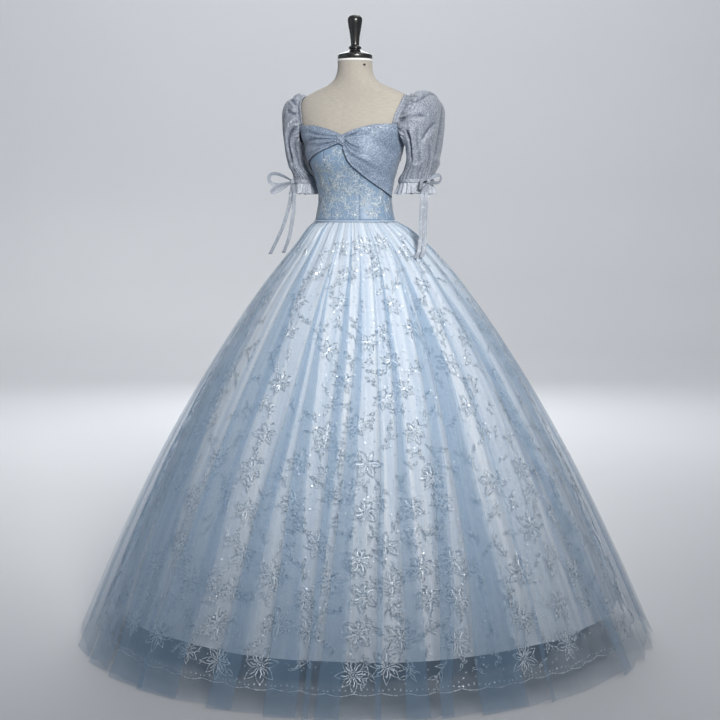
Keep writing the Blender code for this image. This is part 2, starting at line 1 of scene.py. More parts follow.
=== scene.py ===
"""Dressed model of a ball gown with puff sleeves and a three-layer skirt, on a limbless dress form.

Metres, +Z up, the front towards -Y. Left and right are the wearer's: her left is +X. A turn is an
angle about the form's axis, from 0 at the front centre to 90 degrees at her left side. A grid is
rows of points, the bottom row first, each row in the sense of a rising turn.
"""

import logging
import math
from collections.abc import Callable, Iterable, Sequence
from dataclasses import dataclass, field
from enum import Enum
from functools import cached_property

import bmesh
import bpy
import numpy as np
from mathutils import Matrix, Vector
from mathutils.bvhtree import BVHTree


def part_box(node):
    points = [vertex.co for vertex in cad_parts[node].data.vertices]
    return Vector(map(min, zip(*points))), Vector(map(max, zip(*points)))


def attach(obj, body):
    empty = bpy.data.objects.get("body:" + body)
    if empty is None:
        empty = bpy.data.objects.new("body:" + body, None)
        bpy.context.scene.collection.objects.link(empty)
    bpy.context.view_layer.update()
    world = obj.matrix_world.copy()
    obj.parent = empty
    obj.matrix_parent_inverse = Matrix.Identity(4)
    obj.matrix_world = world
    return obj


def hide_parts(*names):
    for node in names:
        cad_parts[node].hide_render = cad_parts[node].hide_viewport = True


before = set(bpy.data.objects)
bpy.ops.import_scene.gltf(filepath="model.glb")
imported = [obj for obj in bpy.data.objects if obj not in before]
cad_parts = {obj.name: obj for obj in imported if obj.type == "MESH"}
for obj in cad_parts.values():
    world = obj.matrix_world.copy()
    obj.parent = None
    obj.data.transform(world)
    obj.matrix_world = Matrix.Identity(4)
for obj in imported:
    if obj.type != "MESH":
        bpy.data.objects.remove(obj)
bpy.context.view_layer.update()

Array = np.ndarray
Draw = np.random.Generator
Object = bpy.types.Object
Pair = tuple[float, float]
Point = tuple[float, float, float]
Surface = Callable[[Array, Array], Array]
log = logging.getLogger("gown")

BODY = "root"
AXIS_Y = -0.085  # where the form's axis stands
WAIST = 1.144  # the height of the waist seam
SEAM_GAP = 0.0004  # between pieces that are sewn edge to edge
MERGE = 1e-6  # points nearer than this are one


# ---------------- curves and creases
class Column:
    """A smooth function through one column of a table, flat where the column turns back."""

    def __init__(self, xs: Sequence[float], ys: Sequence[float]) -> None:
        """Fit the column.

        Args:
            xs: Where each row stands, rising.
            ys: The column's value there.
        """
        self.xs, self.ys = np.array(xs, float), np.array(ys, float)
        steps = np.diff(self.ys) / np.diff(self.xs)
        slopes = np.concatenate([steps[:1], (steps[1:] + steps[:-1]) / 2, steps[-1:]])
        slopes[1:-1][steps[1:] * steps[:-1] <= 0] = 0.0
        self.slopes = slopes

    def __call__(self, x: Array) -> Array:
        """The column's value at each x.

        Args:
            x: Heights, or other places along it.

        Returns:
            The values there.
        """
        x = np.clip(np.asarray(x, float), self.xs[0], self.xs[-1])
        i = np.clip(np.searchsorted(self.xs, x, side="right") - 1, 0, len(self.xs) - 2)
        span = self.xs[i + 1] - self.xs[i]
        t = (x - self.xs[i]) / span
        start = self.ys[i] * (1 + 2 * t) * (1 - t) ** 2 + self.slopes[i] * span * t * (1 - t) ** 2
        end = self.ys[i + 1] * t * t * (3 - 2 * t) + self.slopes[i + 1] * span * t * t * (t - 1)
        return start + end


def columns_of(rows: Sequence[Sequence[float]], names: str) -> dict[str, Column]:
    """The smooth columns of a table whose first column orders it.

    Args:
        rows: The table.
        names: The names of its other columns, parted by spaces.

    Returns:
        A function for each name.
    """
    xs, *others = zip(*sorted(rows))
    return {name: Column(xs, ys) for name, ys in zip(names.split(), others)}


def eased(t: Array) -> Array:
    """0 to 1 with no kink at either end."""
    t = np.clip(t, 0.0, 1.0)
    return t * t * (3 - 2 * t)


def polar(reach: float, angle: float) -> Pair:
    """The flat point at a reach and an angle from the middle."""
    return reach * math.cos(angle), reach * math.sin(angle)


def around(count: int) -> Array:
    """Turns all the way round, the back centre first and last."""
    return np.linspace(-180, 180, count)


class Wander:
    """A slow uneven wave round a circle or along a line, the same in each run."""

    def __init__(self, seed: int, waves: Sequence[int]) -> None:
        """Draw the phases.

        Args:
            seed: Which wave.
            waves: How many periods each part has over the range 0 to 1.
        """
        draw = np.random.default_rng(seed)
        self.parts = [(wave, draw.uniform(0, math.tau), draw.uniform(0.6, 1.0)) for wave in waves]
        self.total = sum(size for *_, size in self.parts)

    def __call__(self, share: Array) -> Array:
        """The wave's height, from -1 to 1."""
        share = np.asarray(share, float)
        waves = (size * np.sin(math.tau * n * share + start) for n, start, size in self.parts)
        return sum(waves) / self.total


@dataclass(frozen=True)
class Crease:
    """A fold line on a sheet: a ridge where depth is above 0 and a furrow where it is below."""

    start: Pair
    end: Pair
    width: float
    depth: float
    sag: float = 0.0

    @classmethod
    def table(cls, rows: Sequence[Sequence[float]]) -> tuple["Crease", ...]:
        """Creases from rows of start, end, width, depth and sag."""
        return tuple(cls(row[:2], row[2:4], *row[4:]) for row in rows)

    def rise(self, across: Array, along: Array) -> Array:
        """How far the crease lifts each point of the sheet.

        Args:
            across: The sheet's first coordinate.
            along: The sheet's second coordinate.

        Returns:
            The lift, in the depth's own unit.
        """
        a, b = np.array(self.start), np.array(self.end)
        run = b - a
        length = float(np.hypot(*run))
        tangent = run / length
        x, y = across - a[0], along - a[1]
        t = (x * tangent[0] + y * tangent[1]) / length
        off = -x * tangent[1] + y * tangent[0] - self.sag * 4 * t * (1 - t)
        beyond = np.maximum(np.maximum(-t, t - 1), 0) * length
        taper = eased((t + 0.25) / 0.35) * eased((1.25 - t) / 0.5)
        spread = (off / self.width) ** 2
        return self.depth * taper * np.exp(-spread - (beyond / (3 * self.width)) ** 2)


def normals_of(surface: Surface, across: Array, along: Array, steps: Pair) -> Array:
    """The outward normals of a surface.

    Args:
        surface: The surface.
        across: Its first coordinate at each point.
        along: Its second coordinate at each point.
        steps: How far to look either way for the slope.

    Returns:
        A unit vector for each point.
    """
    du, dv = steps
    east = surface(across + du, along) - surface(across - du, along)
    north = surface(across, along + dv) - surface(across, along - dv)
    normal = np.cross(east, north)
    return normal / np.maximum(np.linalg.norm(normal, axis=-1, keepdims=True), 1e-12)


# ---------------- finishes
Colour = Point
Socket = bpy.types.NodeSocket
Look = dict[str, object]
WHITE: Colour = (1.0, 1.0, 1.0)
BANDS = 3.1831  # how many bands a wave texture of scale 1 has to the metre


def toned(colour: Colour, factor: float) -> Colour:
    """A colour made darker, or lighter up to white."""
    return tuple(min(1.0, factor * part) for part in colour)


class Graph:
    """A material's nodes, made in short calls."""

    def __init__(self, name: str) -> None:
        """Start an empty material with its surface shader."""
        self.material = bpy.data.materials.new(name)
        self.material.use_nodes = True
        self.tree = self.material.node_tree
        self.shader = self.tree.nodes["Principled BSDF"]

    def node(
        self, kind: str, sockets: dict | None = None, out: int | str = 0, **settings: object
    ) -> Socket:
        """Add a node.

        Args:
            kind: Its type, without the common prefix.
            sockets: A value or a link for each input named or numbered.
            out: The output to return.
            **settings: Its own properties.

        Returns:
            The output.
        """
        made = self.tree.nodes.new(f"ShaderNode{kind}")
        for name, value in settings.items():
            setattr(made, name, value)
        for key, value in (sockets or {}).items():
            self.fill(made.inputs[key], value)
        return made.outputs[out]

    def fill(self, socket: Socket, value: object) -> None:
        """Give an input its link, its colour or its number.

        Args:
            socket: The input.
            value: What it gets.
        """
        if isinstance(value, Socket):
            self.tree.links.new(value, socket)
        elif socket.type == "RGBA":
            socket.default_value = (*value, 1.0)
        else:
            socket.default_value = value

    def math(self, operation: str, first: Socket | float, second: Socket | float = 0.0) -> Socket:
        """One sum on two numbers."""
        return self.node("Math", {0: first, 1: second}, operation=operation)

    def span(
        self, value: Socket, low: float, high: float, to_low: float = 0.0, to_high: float = 1.0
    ) -> Socket:
        """The value moved from one range to another, held inside it."""
        return self.node("MapRange", {0: value, 1: low, 2: high, 3: to_low, 4: to_high})

    def blend(
        self, share: Socket | float, first: Socket | Colour, second: Socket | Colour,
        how: str = "MIX",
    ) -> Socket:
        """A colour between two, or the second laid over the first another way."""
        sockets = {0: share, 6: first, 7: second}
        return self.node("Mix", sockets, out=2, data_type="RGBA", blend_type=how)

    def here(self) -> Socket:
        """The point of the surface, in metres."""
        return self.node("TexCoord", out="Object")

    def cloth(self) -> Socket:
        """The point of the flat cloth, in metres."""
        return self.node("UVMap", uv_map="cloth")

    def noise(self, where: Socket, scale: float, detail: float = 2.0) -> Socket:
        """Soft noise from 0 to 1."""
        return self.node("TexNoise", {"Vector": where, "Scale": scale, "Detail": detail})

    def stretched(self, where: Socket, scale: Point, turn: float = 0.0) -> Socket:
        """The point scaled and turned in the plane of the cloth."""
        return self.node("Mapping", {0: where, 2: (0.0, 0.0, turn), 3: scale})

    def wave(self, where: Socket, scale: float, direction: str = "X") -> Socket:
        """Even bands across a direction: a height from 0 to 1."""
        sockets = {"Vector": where, "Scale": scale}
        return self.node("TexWave", sockets, out="Fac", bands_direction=direction)

    def threads(self, where: Socket, pitch: float) -> Socket:
        """Warp over weft: a height from 0 to 1 with crossing threads at the pitch."""
        scale = 1 / pitch / BANDS
        return self.math("MAXIMUM", self.wave(where, scale), self.wave(where, scale, "Y"))

    def lattice(self, where: Socket, pitch: float) -> Socket:
        """Two sets of slanting yarns that cross: a height from 0 to 1."""
        scale, leaning = 1 / pitch / BANDS, self.stretched(where, (1.0, -1.0, 1.0))
        pair = (self.wave(point, scale, "DIAGONAL") for point in (where, leaning))
        return self.math("MAXIMUM", *pair)

    def shaded(self, colour: Socket, share: Socket, low: Colour, high: Colour) -> Socket:
        """The colour multiplied by a tint that the share picks between two."""
        return self.blend(1.0, colour, self.blend(share, low, high), "MULTIPLY")

    def bump(
        self, height: Socket, strength: float, distance: float, under: Socket | None = None
    ) -> Socket:
        """A normal that stands up with the height."""
        sockets = {"Height": height, "Strength": strength, "Distance": distance}
        if under is not None:
            sockets["Normal"] = under
        return self.node("Bump", sockets)

    def set(self, **sockets: object) -> bpy.types.Material:
        """Give the shader its values and links, by socket names with _ for spaces.

        Returns:
            The material.
        """
        for key, value in sockets.items():
            self.fill(self.shader.inputs[key.replace("_", " ")], value)
        return self.material


MADE: dict[str, bpy.types.Material] = {}


@dataclass(frozen=True)
class Finish:
    """What a surface is made of."""

    name: str
    slot: str
    colour: Colour
    roughness: float

    def look(self, g: Graph) -> Look:
        """The shader's values and links, with their nodes added to the graph."""
        raise NotImplementedError

    def material(self) -> bpy.types.Material:
        """The finish's material, made once."""
        if self.name not in MADE:
            g = Graph(self.name)
            MADE[self.name] = g.set(**self.look(g))
        return MADE[self.name]


@dataclass(frozen=True)
class Linen(Finish):
    """Undyed linen stretched over the form."""

    pitch: float = 0.0011

    def look(self, g: Graph) -> Look:
        """The shader's values and links."""
        cloth = g.cloth()
        slub = g.noise(g.stretched(cloth, (60.0, 900.0, 1.0)), 1.0, 3.0)
        patch = g.blend(g.noise(g.here(), 9.0), self.colour, toned(self.colour, 1.08))
        colour = g.blend(g.span(slub, 0.35, 0.7), toned(self.colour, 0.8), patch)
        normal = g.bump(g.threads(cloth, self.pitch), 0.35, 0.0004, g.bump(slub, 0.25, 0.0006))
        return dict(Base_Color=colour, Roughness=self.roughness, Sheen_Weight=0.15, Normal=normal)


@dataclass(frozen=True)
class Lacquer(Finish):
    """Black lacquer, rubbed dull in small scattered patches."""

    rubbed: Colour = (0.035, 0.034, 0.033)

    def look(self, g: Graph) -> Look:
        """The shader's values and links."""
        smear = g.noise(g.here(), 45.0, 4.0)
        rough = g.span(smear, 0.3, 0.7, self.roughness - 0.06, self.roughness + 0.12)
        worn = g.span(g.noise(g.here(), 160.0), 0.62, 0.8)
        return dict(
            Base_Color=g.blend(worn, self.colour, self.rubbed), Roughness=rough,
            Coat_Weight=0.35, Coat_Roughness=0.15, Normal=g.bump(smear, 0.04, 0.001),
        )


@dataclass(frozen=True)
class BrushedMetal(Finish):
    """Metal with fine lines along or round it."""

    metallic: float = 1.0

    def look(self, g: Graph) -> Look:
        """The shader's values and links."""
        lines = g.noise(g.stretched(g.here(), (1.0, 1.0, 24.0)), 60.0, 3.0)
        rough = g.span(lines, 0.3, 0.7, self.roughness - 0.08, self.roughness + 0.1)
        worn = g.span(g.noise(g.here(), 14.0, 4.0), 0.4, 0.8)
        return dict(
            Base_Color=g.blend(worn, self.colour, toned(self.colour, 1.35)), Roughness=rough,
            Metallic=self.metallic, Normal=g.bump(lines, 0.1, 0.0005),
        )


@dataclass(frozen=True)
class Satin(Finish):
    """Smooth satin with a soft shine and its threads just visible, rucked where it is gathered,
    with painted shade in the rucks' hollows and a painted highlight on their ridges.
    """

    pitch: float = 0.0009
    deep: Colour = (0.2, 0.3, 0.4)
    rucks: float = 0.0

    def look(self, g: Graph) -> Look:
        """The shader's values and links."""
        cloth = g.cloth()
        floats = g.noise(g.stretched(cloth, (700.0, 30.0, 1.0)), 1.0)
        cloudy = g.span(g.noise(g.here(), 5.0, 3.0), 0.35, 0.75, 0.0, 0.35)
        colour = g.blend(cloudy, self.colour, self.deep)
        normal = g.bump(floats, 0.08, 0.0005)
        if self.rucks:
            ruck = g.noise(g.stretched(cloth, (self.rucks, 0.7, 1.0)), 1.0, 3.0)
            # Painted shade and highlight: a darker tint in the hollows of the rucks, a paler one on
            # their ridges.
            dark, pale = (0.78, 0.83, 0.89), (1.06, 1.05, 1.03)
            colour = g.shaded(colour, g.span(ruck, 0.36, 0.64), dark, pale)
            normal = g.bump(ruck, 0.5, 0.004, normal)
        return dict(
            Base_Color=colour, Normal=g.bump(g.threads(cloth, self.pitch), 0.12, 0.0003, normal),
            Roughness=g.span(floats, 0.3, 0.7, self.roughness - 0.05, self.roughness + 0.08),
            Sheen_Weight=0.25, Sheen_Roughness=0.35, Specular_IOR_Level=0.45,
        )


@dataclass(frozen=True)
class GlitterMesh(Finish):
    """Knitted mesh over a lining, strewn with fine glitter, with painted shade in its folds that
    also dims the glitter there.
    """

    glint: Colour = (0.85, 0.9, 0.96)
    cell: float = 0.0016
    coarse_cell: float = 0.0028
    stitch: float = 0.0011
    fleck: float = 1.0
    fold_shade: Colour = (0.36, 0.39, 0.46)

    def look(self, g: Graph) -> Look:
        """The shader's values and links."""
        here = g.here()
        dots = self.dots(g, here, 1 / self.coarse_cell, 0.88)
        fine = self.dots(g, here, 1 / self.cell, 0.72)
        sparkle = g.math("MAXIMUM", dots, g.math("MULTIPLY", fine, 0.55))
        cells = {"Vector": g.cloth(), "Scale": 1 / self.stitch}
        mesh = g.node("TexVoronoi", cells, feature="DISTANCE_TO_EDGE")
        dark = toned(self.colour, 0.62)
        patch = g.blend(g.noise(here, 22.0, 3.0), dark, toned(self.colour, 1.2))
        ground = g.blend(g.math("MULTIPLY", g.span(mesh, 0.02, 0.14), 0.45), patch, dark)
        grain = g.noise(here, 250.0)
        low = tuple(1 - part * self.fleck for part in (0.34, 0.32, 0.27))
        high = tuple(1 + part * self.fleck for part in (0.3, 0.28, 0.24))
        ground = g.shaded(ground, g.span(grain, 0.38, 0.62), low, high)
        # Painted shade: deep in a fold the colour is darkened and the glitter dimmed.
        furrow = g.node("Attribute", out="Fac", attribute_name="furrow")
        ground = g.shaded(ground, furrow, WHITE, self.fold_shade)
        sparkle = g.math("MULTIPLY", sparkle, g.span(furrow, 0.0, 1.0, 1.0, 0.15))
        height = g.math("ADD", mesh, g.math("MULTIPLY", sparkle, 0.6))
        return dict(
            Base_Color=g.blend(sparkle, ground, self.glint),
            Normal=g.bump(height, 0.45, 0.0006, g.bump(grain, 0.3, 0.0012)),
            Metallic=g.math("MULTIPLY", sparkle, 0.6),
            Roughness=g.span(sparkle, 0.0, 1.0, self.roughness, 0.3),
            Sheen_Weight=0.2, Sheen_Roughness=0.4,
        )

    @staticmethod
    def dots(g: Graph, where: Socket, scale: float, rare: float) -> Socket:
        """Round specks on a few of the cells.

        Args:
            g: The material's nodes.
            where: The point.
            scale: Cells to the metre.
            rare: The share of cells left bare.

        Returns:
            1 on a speck and 0 off it.
        """
        cells = {"Vector": where, "Scale": scale}
        near = g.node("TexVoronoi", cells, out="Distance")
        shade = g.node("TexVoronoi", cells, out="Color")
        chosen = g.math("GREATER_THAN", g.node("SeparateColor", {0: shade}), rare)
        return g.math("MULTIPLY", chosen, g.span(near, 0.34, 0.22))


@dataclass(frozen=True)
class SheerNet(Finish):
    """Fine net that shows what is behind it, denser where its gathers bunch it."""

    cover: float = 0.3
    cell: float = 0.0017
    rucks: float = 30.0
    bunched: Pair = (0.8, 1.0)

    def look(self, g: Graph) -> Look:
        """The shader's values and links."""
        yarn = g.span(g.lattice(g.cloth(), self.cell), 0.8, 0.98)
        cloudy = g.noise(g.here(), 3.5, 1.0)
        ruck = g.noise(g.stretched(g.cloth(), (self.rucks, 0.8, 1.0)), 1.0, 3.0)
        cover = g.span(yarn, 0.0, 1.0, 0.88 * self.cover, 1.28 * self.cover)
        return dict(
            Base_Color=g.blend(cloudy, self.colour, toned(self.colour, 1.18)),
            Alpha=g.math("MULTIPLY", cover, g.span(ruck, 0.36, 0.66, *self.bunched)),
            Roughness=self.roughness, Sheen_Weight=0.25, Sheen_Roughness=0.5,
            Specular_IOR_Level=0.15,
        )


@dataclass(frozen=True)
class SilverThread(Finish):
    """Twisted metal thread: bright silver broken by patches of painted dark reflection, with
    painted shade and highlight across its twist.
    """

    # The colour of the painted dark reflection.
    shade: Colour = (0.24, 0.28, 0.33)
    lays: float = 190.0

    def look(self, g: Graph) -> Look:
        """The shader's values and links."""
        # Painted shade and highlight across the twist, and patches of painted dark reflection, over
        # the silver's own colour.
        twist = g.wave(g.stretched(g.cloth(), (1.0, 1.0, 1.0), 0.9), 260.0)
        tint = g.noise(g.here(), 120.0)
        painted_reflection_mask = g.span(g.noise(g.here(), self.lays, 1.0), 0.4, 0.51)
        colour = g.blend(painted_reflection_mask, self.shade, self.colour)
        return dict(
            Base_Color=g.shaded(colour, twist, (0.8, 0.8, 0.8), (1.1, 1.1, 1.1)),
            Roughness=g.span(tint, 0.3, 0.7, self.roughness - 0.08, self.roughness + 0.1),
            Metallic=0.3, Normal=g.bump(twist, 0.6, 0.0005), Specular_IOR_Level=0.7,
        )


@dataclass(frozen=True)
class Sequin(Finish):
    """Small clear-silver discs that catch the light."""

    cool: Colour = (0.78, 0.88, 1.0)

    def look(self, g: Graph) -> Look:
        """The shader's values and links."""
        tint = g.noise(g.here(), 240.0)
        return dict(
            Base_Color=g.blend(tint, self.colour, self.cool), Metallic=0.35,
            Roughness=g.span(tint, 0.3, 0.7, self.roughness, self.roughness + 0.15),
            Normal=g.bump(tint, 0.3, 0.0005), Specular_IOR_Level=1.0,
        )


class Finishes:
    """The finishes that the gown and its form are dressed in."""

    LINEN = Linen("linen", "form_linen", (0.475, 0.44, 0.385), 0.86)
    LACQUER = Lacquer("lacquer", "black_lacquer", (0.012, 0.012, 0.013), 0.28)
    STEEL = BrushedMetal("steel", "brushed_pole", (0.55, 0.55, 0.57), 0.33)
    IRON = BrushedMetal("iron", "base_iron", (0.03, 0.03, 0.032), 0.52, 0.6)
    BODICE_SATIN = Satin(
        "bodice_satin", "embroidered_bodice", (0.22, 0.308, 0.422), 0.42,
        deep=(0.125, 0.215, 0.37),
    )
    PIPING = Satin(
        "waist_piping", "embroidered_bodice", (0.46, 0.56, 0.68), 0.5, deep=(0.4, 0.5, 0.63)
    )
    NECK_RING = Satin(
        "neck_ring", "form_linen", (0.85, 0.85, 0.83), 0.55, 0.0008, (0.75, 0.75, 0.73)
    )
    SLEEVE_MESH = GlitterMesh("sleeve_mesh", "glitter_mesh", (0.315, 0.35, 0.415), 0.55)
    DRAPE_MESH = GlitterMesh("drape_mesh", "glitter_mesh", (0.255, 0.325, 0.435), 0.55)
    RIBBON = GlitterMesh("glitter_ribbon", "glitter_mesh", (0.33, 0.37, 0.435), 0.45, fleck=0.4)
    CUFF_MESH = GlitterMesh("cuff_mesh", "glitter_mesh", (0.5, 0.545, 0.61), 0.5, fleck=0.6)
    # A near-black roll under each drape half's lower edge: a painted shadow line.
    NAVY = Satin("navy_edge", "glitter_mesh", (0.03, 0.05, 0.095), 0.6, deep=(0.02, 0.035, 0.07))
    TULLE = SheerNet(
        "plain_tulle", "plain_tulle", (0.2, 0.35, 0.52), 0.7, 0.195, rucks=34.0,
        bunched=(0.82, 1.0),
    )
    NET = SheerNet(
        "embroidery_net", "embroidered_tulle", (0.53, 0.63, 0.74), 0.62, 0.075, 0.0021,
        bunched=(0.35, 2.3),
    )
    LINING = Satin(
        "lining_satin", "satin_lining", (0.8, 0.82, 0.85), 0.38, deep=(0.72, 0.77, 0.83),
        rucks=32.0,
    )
    # The threads' second colours are painted dark reflection.
    SILVER = SilverThread("silver_thread", "embroidered_tulle", (0.9, 0.94, 0.98), 0.3)
    BODICE_THREAD = SilverThread(
        "bodice_thread", "embroidered_tulle", (0.58, 0.65, 0.69), 0.34, (0.3, 0.37, 0.43), 260.0
    )
    SEQUIN = Sequin("sequin", "embroidered_tulle", (0.98, 0.98, 0.99), 0.26)


# ---------------- making pieces
class Held(Enum):
    """How a cloth hangs."""

    STRETCHED = "stretched"
    GATHERED = "gathered"
    FOLDED = "folded"


class Side(Enum):
    """Which side of the wearer a piece is on."""

    LEFT = 1
    RIGHT = -1

    @property
    def word(self) -> str:
        """The side's name in a piece's name."""
        return self.name.lower()


def enter(piece: Object, finish: Finish, *nodes: str) -> None:
    """Dress a piece, let it ride on the body and stand for its solids.

    Args:
        piece: The piece.
        finish: Its finish.
        *nodes: The solids that it stands for.
    """
    piece.data.materials.clear()
    piece.data.materials.append(finish.material())
    piece.data.shade_smooth()
    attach(piece, BODY)
    if nodes:
        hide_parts(*nodes)


def cut(piece: Object, width: float, length: float, held: Held, rests_on: str) -> None:
    """Reckon how much of the rectangle that a sheet was cut from its skin takes up, held between 35
    percent and the whole; the result is not kept.

    Args:
        piece: The cloth.
        width: The rectangle's width.
        length: Its length.
        held: How the cloth hangs; not used.
        rests_on: What it hangs from or lies on; not used.
    """
    whole, least = width * length, 0.35 * width * length
    skin = sum(face.area for face in piece.data.polygons)
    if piece.get("walled"):
        skin /= 2
    used = min(max(skin, least), whole)


def middle_of(node: str) -> Array:
    """The middle of a solid's box."""
    low, high = (np.array(corner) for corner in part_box(node))
    return (low + high) / 2


def linked(name: str, data: bpy.types.ID) -> Object:
    """A named object for a mesh, a lamp or a camera, in the scene."""
    thing = bpy.data.objects.new(name, data)
    bpy.context.scene.collection.objects.link(thing)
    return thing


def settled(name: str, shape: bmesh.types.BMesh) -> Object:
    """A named object for a finished shape, in the scene."""
    mesh = bpy.data.meshes.new(name)
    shape.to_mesh(mesh)
    shape.free()
    return linked(name, mesh)


def flat_places(grid: Array, ruler: int) -> Array:
    """Where each point of a grid lay on the flat cloth.

    Args:
        grid: Rows of points.
        ruler: The row that was gathered the least, which gives the width.

    Returns:
        Rows of flat coordinates, in metres.
    """
    runs = (grid[ruler], grid[:, grid.shape[1] // 2])
    steps = (np.linalg.norm(np.diff(run, axis=0), axis=1) for run in runs)
    across, along = (np.concatenate([[0.0], np.cumsum(step)]) for step in steps)
    return np.stack(np.broadcast_arrays(across[None, :], along[:, None]), axis=-1)


def woven(
    name: str, grid: Array, closed: bool = False, wall: float = 0.0, ruler: int = 0,
    furrow: Array | None = None,
) -> Object:
    """A sheet of cloth through a grid.

    Args:
        name: The piece's name.
        grid: Rows of points. A closed sheet repeats its first column as its last.
        closed: Whether the sheet is a ring.
        wall: How thick it is, built inwards, or 0 for a single skin.
        ruler: The row that gives the flat cloth's width.
        furrow: How deep in a fold each point lies, from 0 to 1, which the finish paints as shade.

    Returns:
        The object.
    """
    rows, columns = grid.shape[:2]
    shape = bmesh.new()
    bmesh.ops.create_grid(shape, x_segments=columns - 1, y_segments=rows - 1, size=1.0)
    shape.verts.index_update()
    for vert, point in zip(shape.verts, grid.reshape(-1, 3)):
        vert.co = point
    if furrow is not None:
        depth = shape.verts.layers.float.new("furrow")
        for vert, share in zip(shape.verts, furrow.reshape(-1)):
            vert[depth] = float(share)
    places = flat_places(grid, ruler).reshape(-1, 2)
    layer = shape.loops.layers.uv.new("cloth")
    for face in shape.faces:
        face.smooth = True
        for loop in face.loops:
            loop[layer].uv = places[loop.vert.index]
    if closed:
        shape.verts.ensure_lookup_table()
        edge = [shape.verts[i * columns + j] for i in range(rows) for j in (0, columns - 1)]
        bmesh.ops.remove_doubles(shape, verts=edge, dist=MERGE)
    if wall:
        thickened(shape, wall)
    piece = settled(name, shape)
    piece["walled"] = bool(wall)
    return piece


def thickened(shape: bmesh.types.BMesh, wall: float) -> None:
    """Give a sheet its wall, inwards from the skin that shows.

    Args:
        shape: The sheet, which becomes a closed shell.
        wall: The wall.
    """
    shape.normal_update()
    outer, faces = list(shape.verts), list(shape.faces)
    rim = [edge for edge in shape.edges if edge.is_boundary]
    twin = bmesh.ops.duplicate(shape, geom=outer + list(shape.edges) + faces)
    pairs = twin["vert_map"]
    for vert in outer:
        pairs[vert].co = vert.co - vert.normal * wall
    inner = [face for face in twin["geom"] if isinstance(face, bmesh.types.BMFace)]
    bmesh.ops.reverse_faces(shape, faces=inner)
    layer = shape.loops.layers.uv.active
    for edge in rim:
        loop = edge.link_loops[0]
        a, b = loop.vert, loop.link_loop_next.vert
        start, end = loop[layer].uv.copy(), loop.link_loop_next[layer].uv.copy()
        side = shape.faces.new((b, a, pairs[a], pairs[b]))
        side.smooth = True
        for corner, uv in zip(side.loops, (end, start, start, end)):
            corner[layer].uv = uv


def lathed(name: str, profile: Sequence[Pair], centre: Pair, steps: int) -> Object:
    """A turned piece, from its profile's top to its bottom.

    Args:
        name: The piece's name.
        profile: Radius and height pairs, both ends on the axis.
        centre: Where the axis stands.
        steps: Sides round it.

    Returns:
        The object.
    """
    shape = bmesh.new()
    verts = [shape.verts.new((centre[0] + r, centre[1], z)) for r, z in profile]
    edges = [shape.edges.new(pair) for pair in zip(verts, verts[1:])]
    bmesh.ops.spin(
        shape, geom=verts + edges, cent=(*centre, 0), axis=(0, 0, 1), angle=math.tau,
        steps=steps, use_merge=True,
    )
    bmesh.ops.remove_doubles(shape, verts=shape.verts, dist=MERGE)
    bmesh.ops.recalc_face_normals(shape, faces=shape.faces)
    return settled(name, shape)


def rolled(name: str, path: Array, radius: float, sides: int = 8, closed: bool = False) -> Object:
    """A thin round roll along a path: piping, a rolled edge or a seam.

    Args:
        name: The piece's name.
        path: Its middle.
        radius: Its radius.
        sides: Sides round it.
        closed: Whether it is a ring.

    Returns:
        The object.
    """
    ahead = np.roll(path, -1, axis=0) - np.roll(path, 1, axis=0)
    if not closed:
        ahead[0], ahead[-1] = path[1] - path[0], path[-1] - path[-2]
    ahead /= np.linalg.norm(ahead, axis=1, keepdims=True)
    side = np.cross(ahead, np.array([0.0, 0.0, 1.0]))
    side /= np.maximum(np.linalg.norm(side, axis=1, keepdims=True), 1e-9)
    lift = np.cross(side, ahead)
    angles = np.linspace(0, math.tau, sides + 1)[None, :, None]
    ring = np.cos(angles) * side[:, None, :] + np.sin(angles) * lift[:, None, :]
    grid = path[:, None, :] + radius * ring
    if closed:
        grid = np.concatenate([grid, grid[:1]])
    thing = woven(name, grid, closed=True)
    shape = bmesh.new()
    shape.from_mesh(thing.data)
    if closed:
        bmesh.ops.remove_doubles(shape, verts=shape.verts, dist=MERGE)
    else:
        bmesh.ops.holes_fill(shape, edges=[e for e in shape.edges if e.is_boundary])
    bmesh.ops.recalc_face_normals(shape, faces=shape.faces)
    shape.to_mesh(thing.data)
    shape.free()
    return thing


# ---------------- needlework
@dataclass
class Motif:
    """Flat needlework about its own middle: points (x, y, lift), thread coordinates and faces."""

    points: Array
    thread: Array
    faces: Array

    @staticmethod
    def joined(motifs: Sequence["Motif"]) -> "Motif":
        """Several motifs as one.

        Args:
            motifs: The motifs.

        Returns:
            The one motif.
        """
        starts = np.cumsum([0] + [len(m.points) for m in motifs[:-1]])
        return Motif(
            np.concatenate([m.points for m in motifs]),
            np.concatenate([m.thread for m in motifs]),
            np.concatenate([m.faces + start for m, start in zip(motifs, starts)]),
        )

    def placed(self, x: float, y: float, turn: float = 0.0) -> "Motif":
        """The motif turned and moved in the cloth's plane.

        Args:
            x: How far it moves.
            y: How far it moves.
            turn: Its turn, in radians.

        Returns:
            The moved motif.
        """
        c, s = math.cos(turn), math.sin(turn)
        points = self.points.copy()
        points[:, 0] = self.points[:, 0] * c - self.points[:, 1] * s + x
        points[:, 1] = self.points[:, 0] * s + self.points[:, 1] * c + y
        return Motif(points, self.thread, self.faces)


